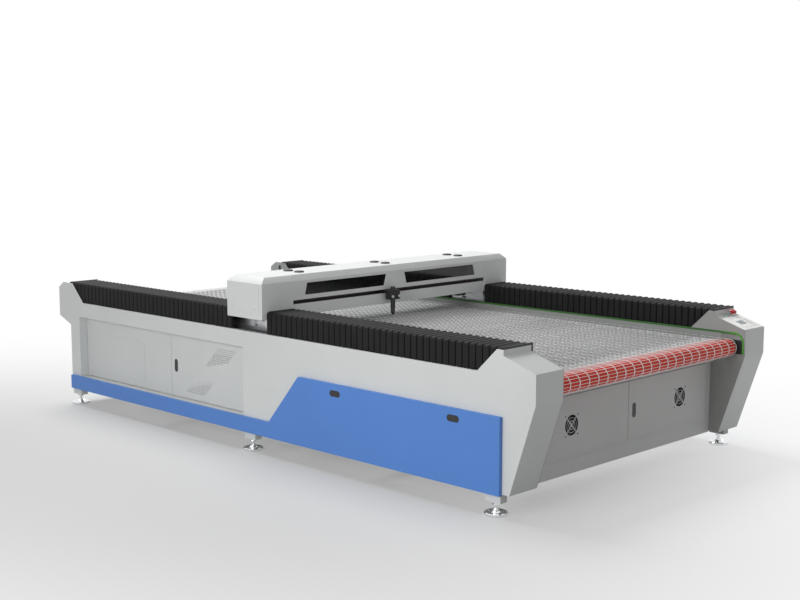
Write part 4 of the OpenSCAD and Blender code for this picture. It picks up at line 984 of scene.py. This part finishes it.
def rays_seen(nodes, links):
    """1 for what the camera, a reflection or a view through glass sees directly."""
    path = nodes.new("ShaderNodeLightPath").outputs
    either = calc(nodes, links, "MAXIMUM", path["Is Camera Ray"], path["Is Glossy Ray"])
    return calc(nodes, links, "MAXIMUM", either, path["Is Transmission Ray"])


# the floor is painted darker towards the left, painted shade beside the machine, and turns into the white
# backdrop round a centre
FLOOR_PAINTED_SHADE, FLOOR_PAINTED_SHADE_X = (0.40, 0.80), (-2.5, 2.5)
SHADE_CENTRE = (-1.5, 0.2)
SHADE_RADII = (1.2, 5.4)
LEAST_WHITE = 0.26


def make_floor():
    deselect()
    bpy.ops.mesh.primitive_grid_add(x_subdivisions=8, y_subdivisions=8, size=120)
    floor = bpy.context.object
    floor.name = floor.data.name = "floor"
    m, nodes, links, shader = new_material("studio floor")
    shader.inputs["Roughness"].default_value = 0.7
    shader.inputs["Specular IOR Level"].default_value = 0.15
    place = nodes.new("ShaderNodeTexCoord").outputs["Object"]
    x = axes_of(nodes, links, place)["X"]
    # painted shade: the floor's colour runs from dark on the left to light on the right
    links.new(to_range(nodes, links, x, *FLOOR_PAINTED_SHADE, *FLOOR_PAINTED_SHADE_X, smooth=True),
              shader.inputs["Base Color"])
    shifted = nodes.new("ShaderNodeVectorMath")
    shifted.inputs[1].default_value = (-SHADE_CENTRE[0], -SHADE_CENTRE[1], 0)
    links.new(place, shifted.inputs[0])
    length = nodes.new("ShaderNodeVectorMath")
    length.operation = "LENGTH"
    links.new(shifted.outputs["Vector"], length.inputs[0])
    far = to_range(nodes, links, length.outputs["Value"], LEAST_WHITE, 1.0, *SHADE_RADII,
                   smooth=True)
    white = calc(nodes, links, "MULTIPLY", rays_seen(nodes, links), far)
    glow = nodes.new("ShaderNodeEmission")
    mix = nodes.new("ShaderNodeMixShader")
    links.new(white, mix.inputs["Fac"])
    links.new(shader.outputs["BSDF"], mix.inputs[1])
    links.new(glow.outputs["Emission"], mix.inputs[2])
    links.new(mix.outputs["Shader"], nodes["Material Output"].inputs["Surface"])
    floor.data.materials.append(m)


def make_world(level):
    """An even grey light all round, in front of a backdrop that is seen as white."""
    world = bpy.data.worlds.new("studio")
    bpy.context.scene.world = world
    world.use_nodes = True
    nodes, links = world.node_tree.nodes, world.node_tree.links
    ambient = nodes["Background"]
    ambient.inputs["Color"].default_value = (level, level, level, 1)
    white = nodes.new("ShaderNodeBackground")
    white.inputs["Color"].default_value = (1, 1, 1, 1)
    mix = nodes.new("ShaderNodeMixShader")
    links.new(rays_seen(nodes, links), mix.inputs["Fac"])
    links.new(ambient.outputs["Background"], mix.inputs[1])
    links.new(white.outputs["Background"], mix.inputs[2])
    links.new(mix.outputs["Shader"], nodes["World Output"].inputs["Surface"])


def softbox(name, at, target, size, power):
    """A lamp with a wide face, turned towards a target and not seen itself."""
    data = bpy.data.lights.new(name, "AREA")
    data.shape = "RECTANGLE"
    data.size, data.size_y = size
    data.energy = power
    o = bpy.data.objects.new(name, data)
    bpy.context.scene.collection.objects.link(o)
    o.location = at
    o.rotation_euler = (Vector(target) - Vector(at)).to_track_quat("-Z", "Y").to_euler()
    o.visible_camera = False


make_floor()
make_world(0.345)
softbox("back_key", (0.5, 4.8, 9.0), (0, 0, 0.7), (6, 5), 940)
softbox("left_key", (-5.6, -1.6, 2.1), (-0.9, -1.4, 0.5), (3, 1.6), 125)
bpy.context.scene.view_settings.view_transform = "Standard"
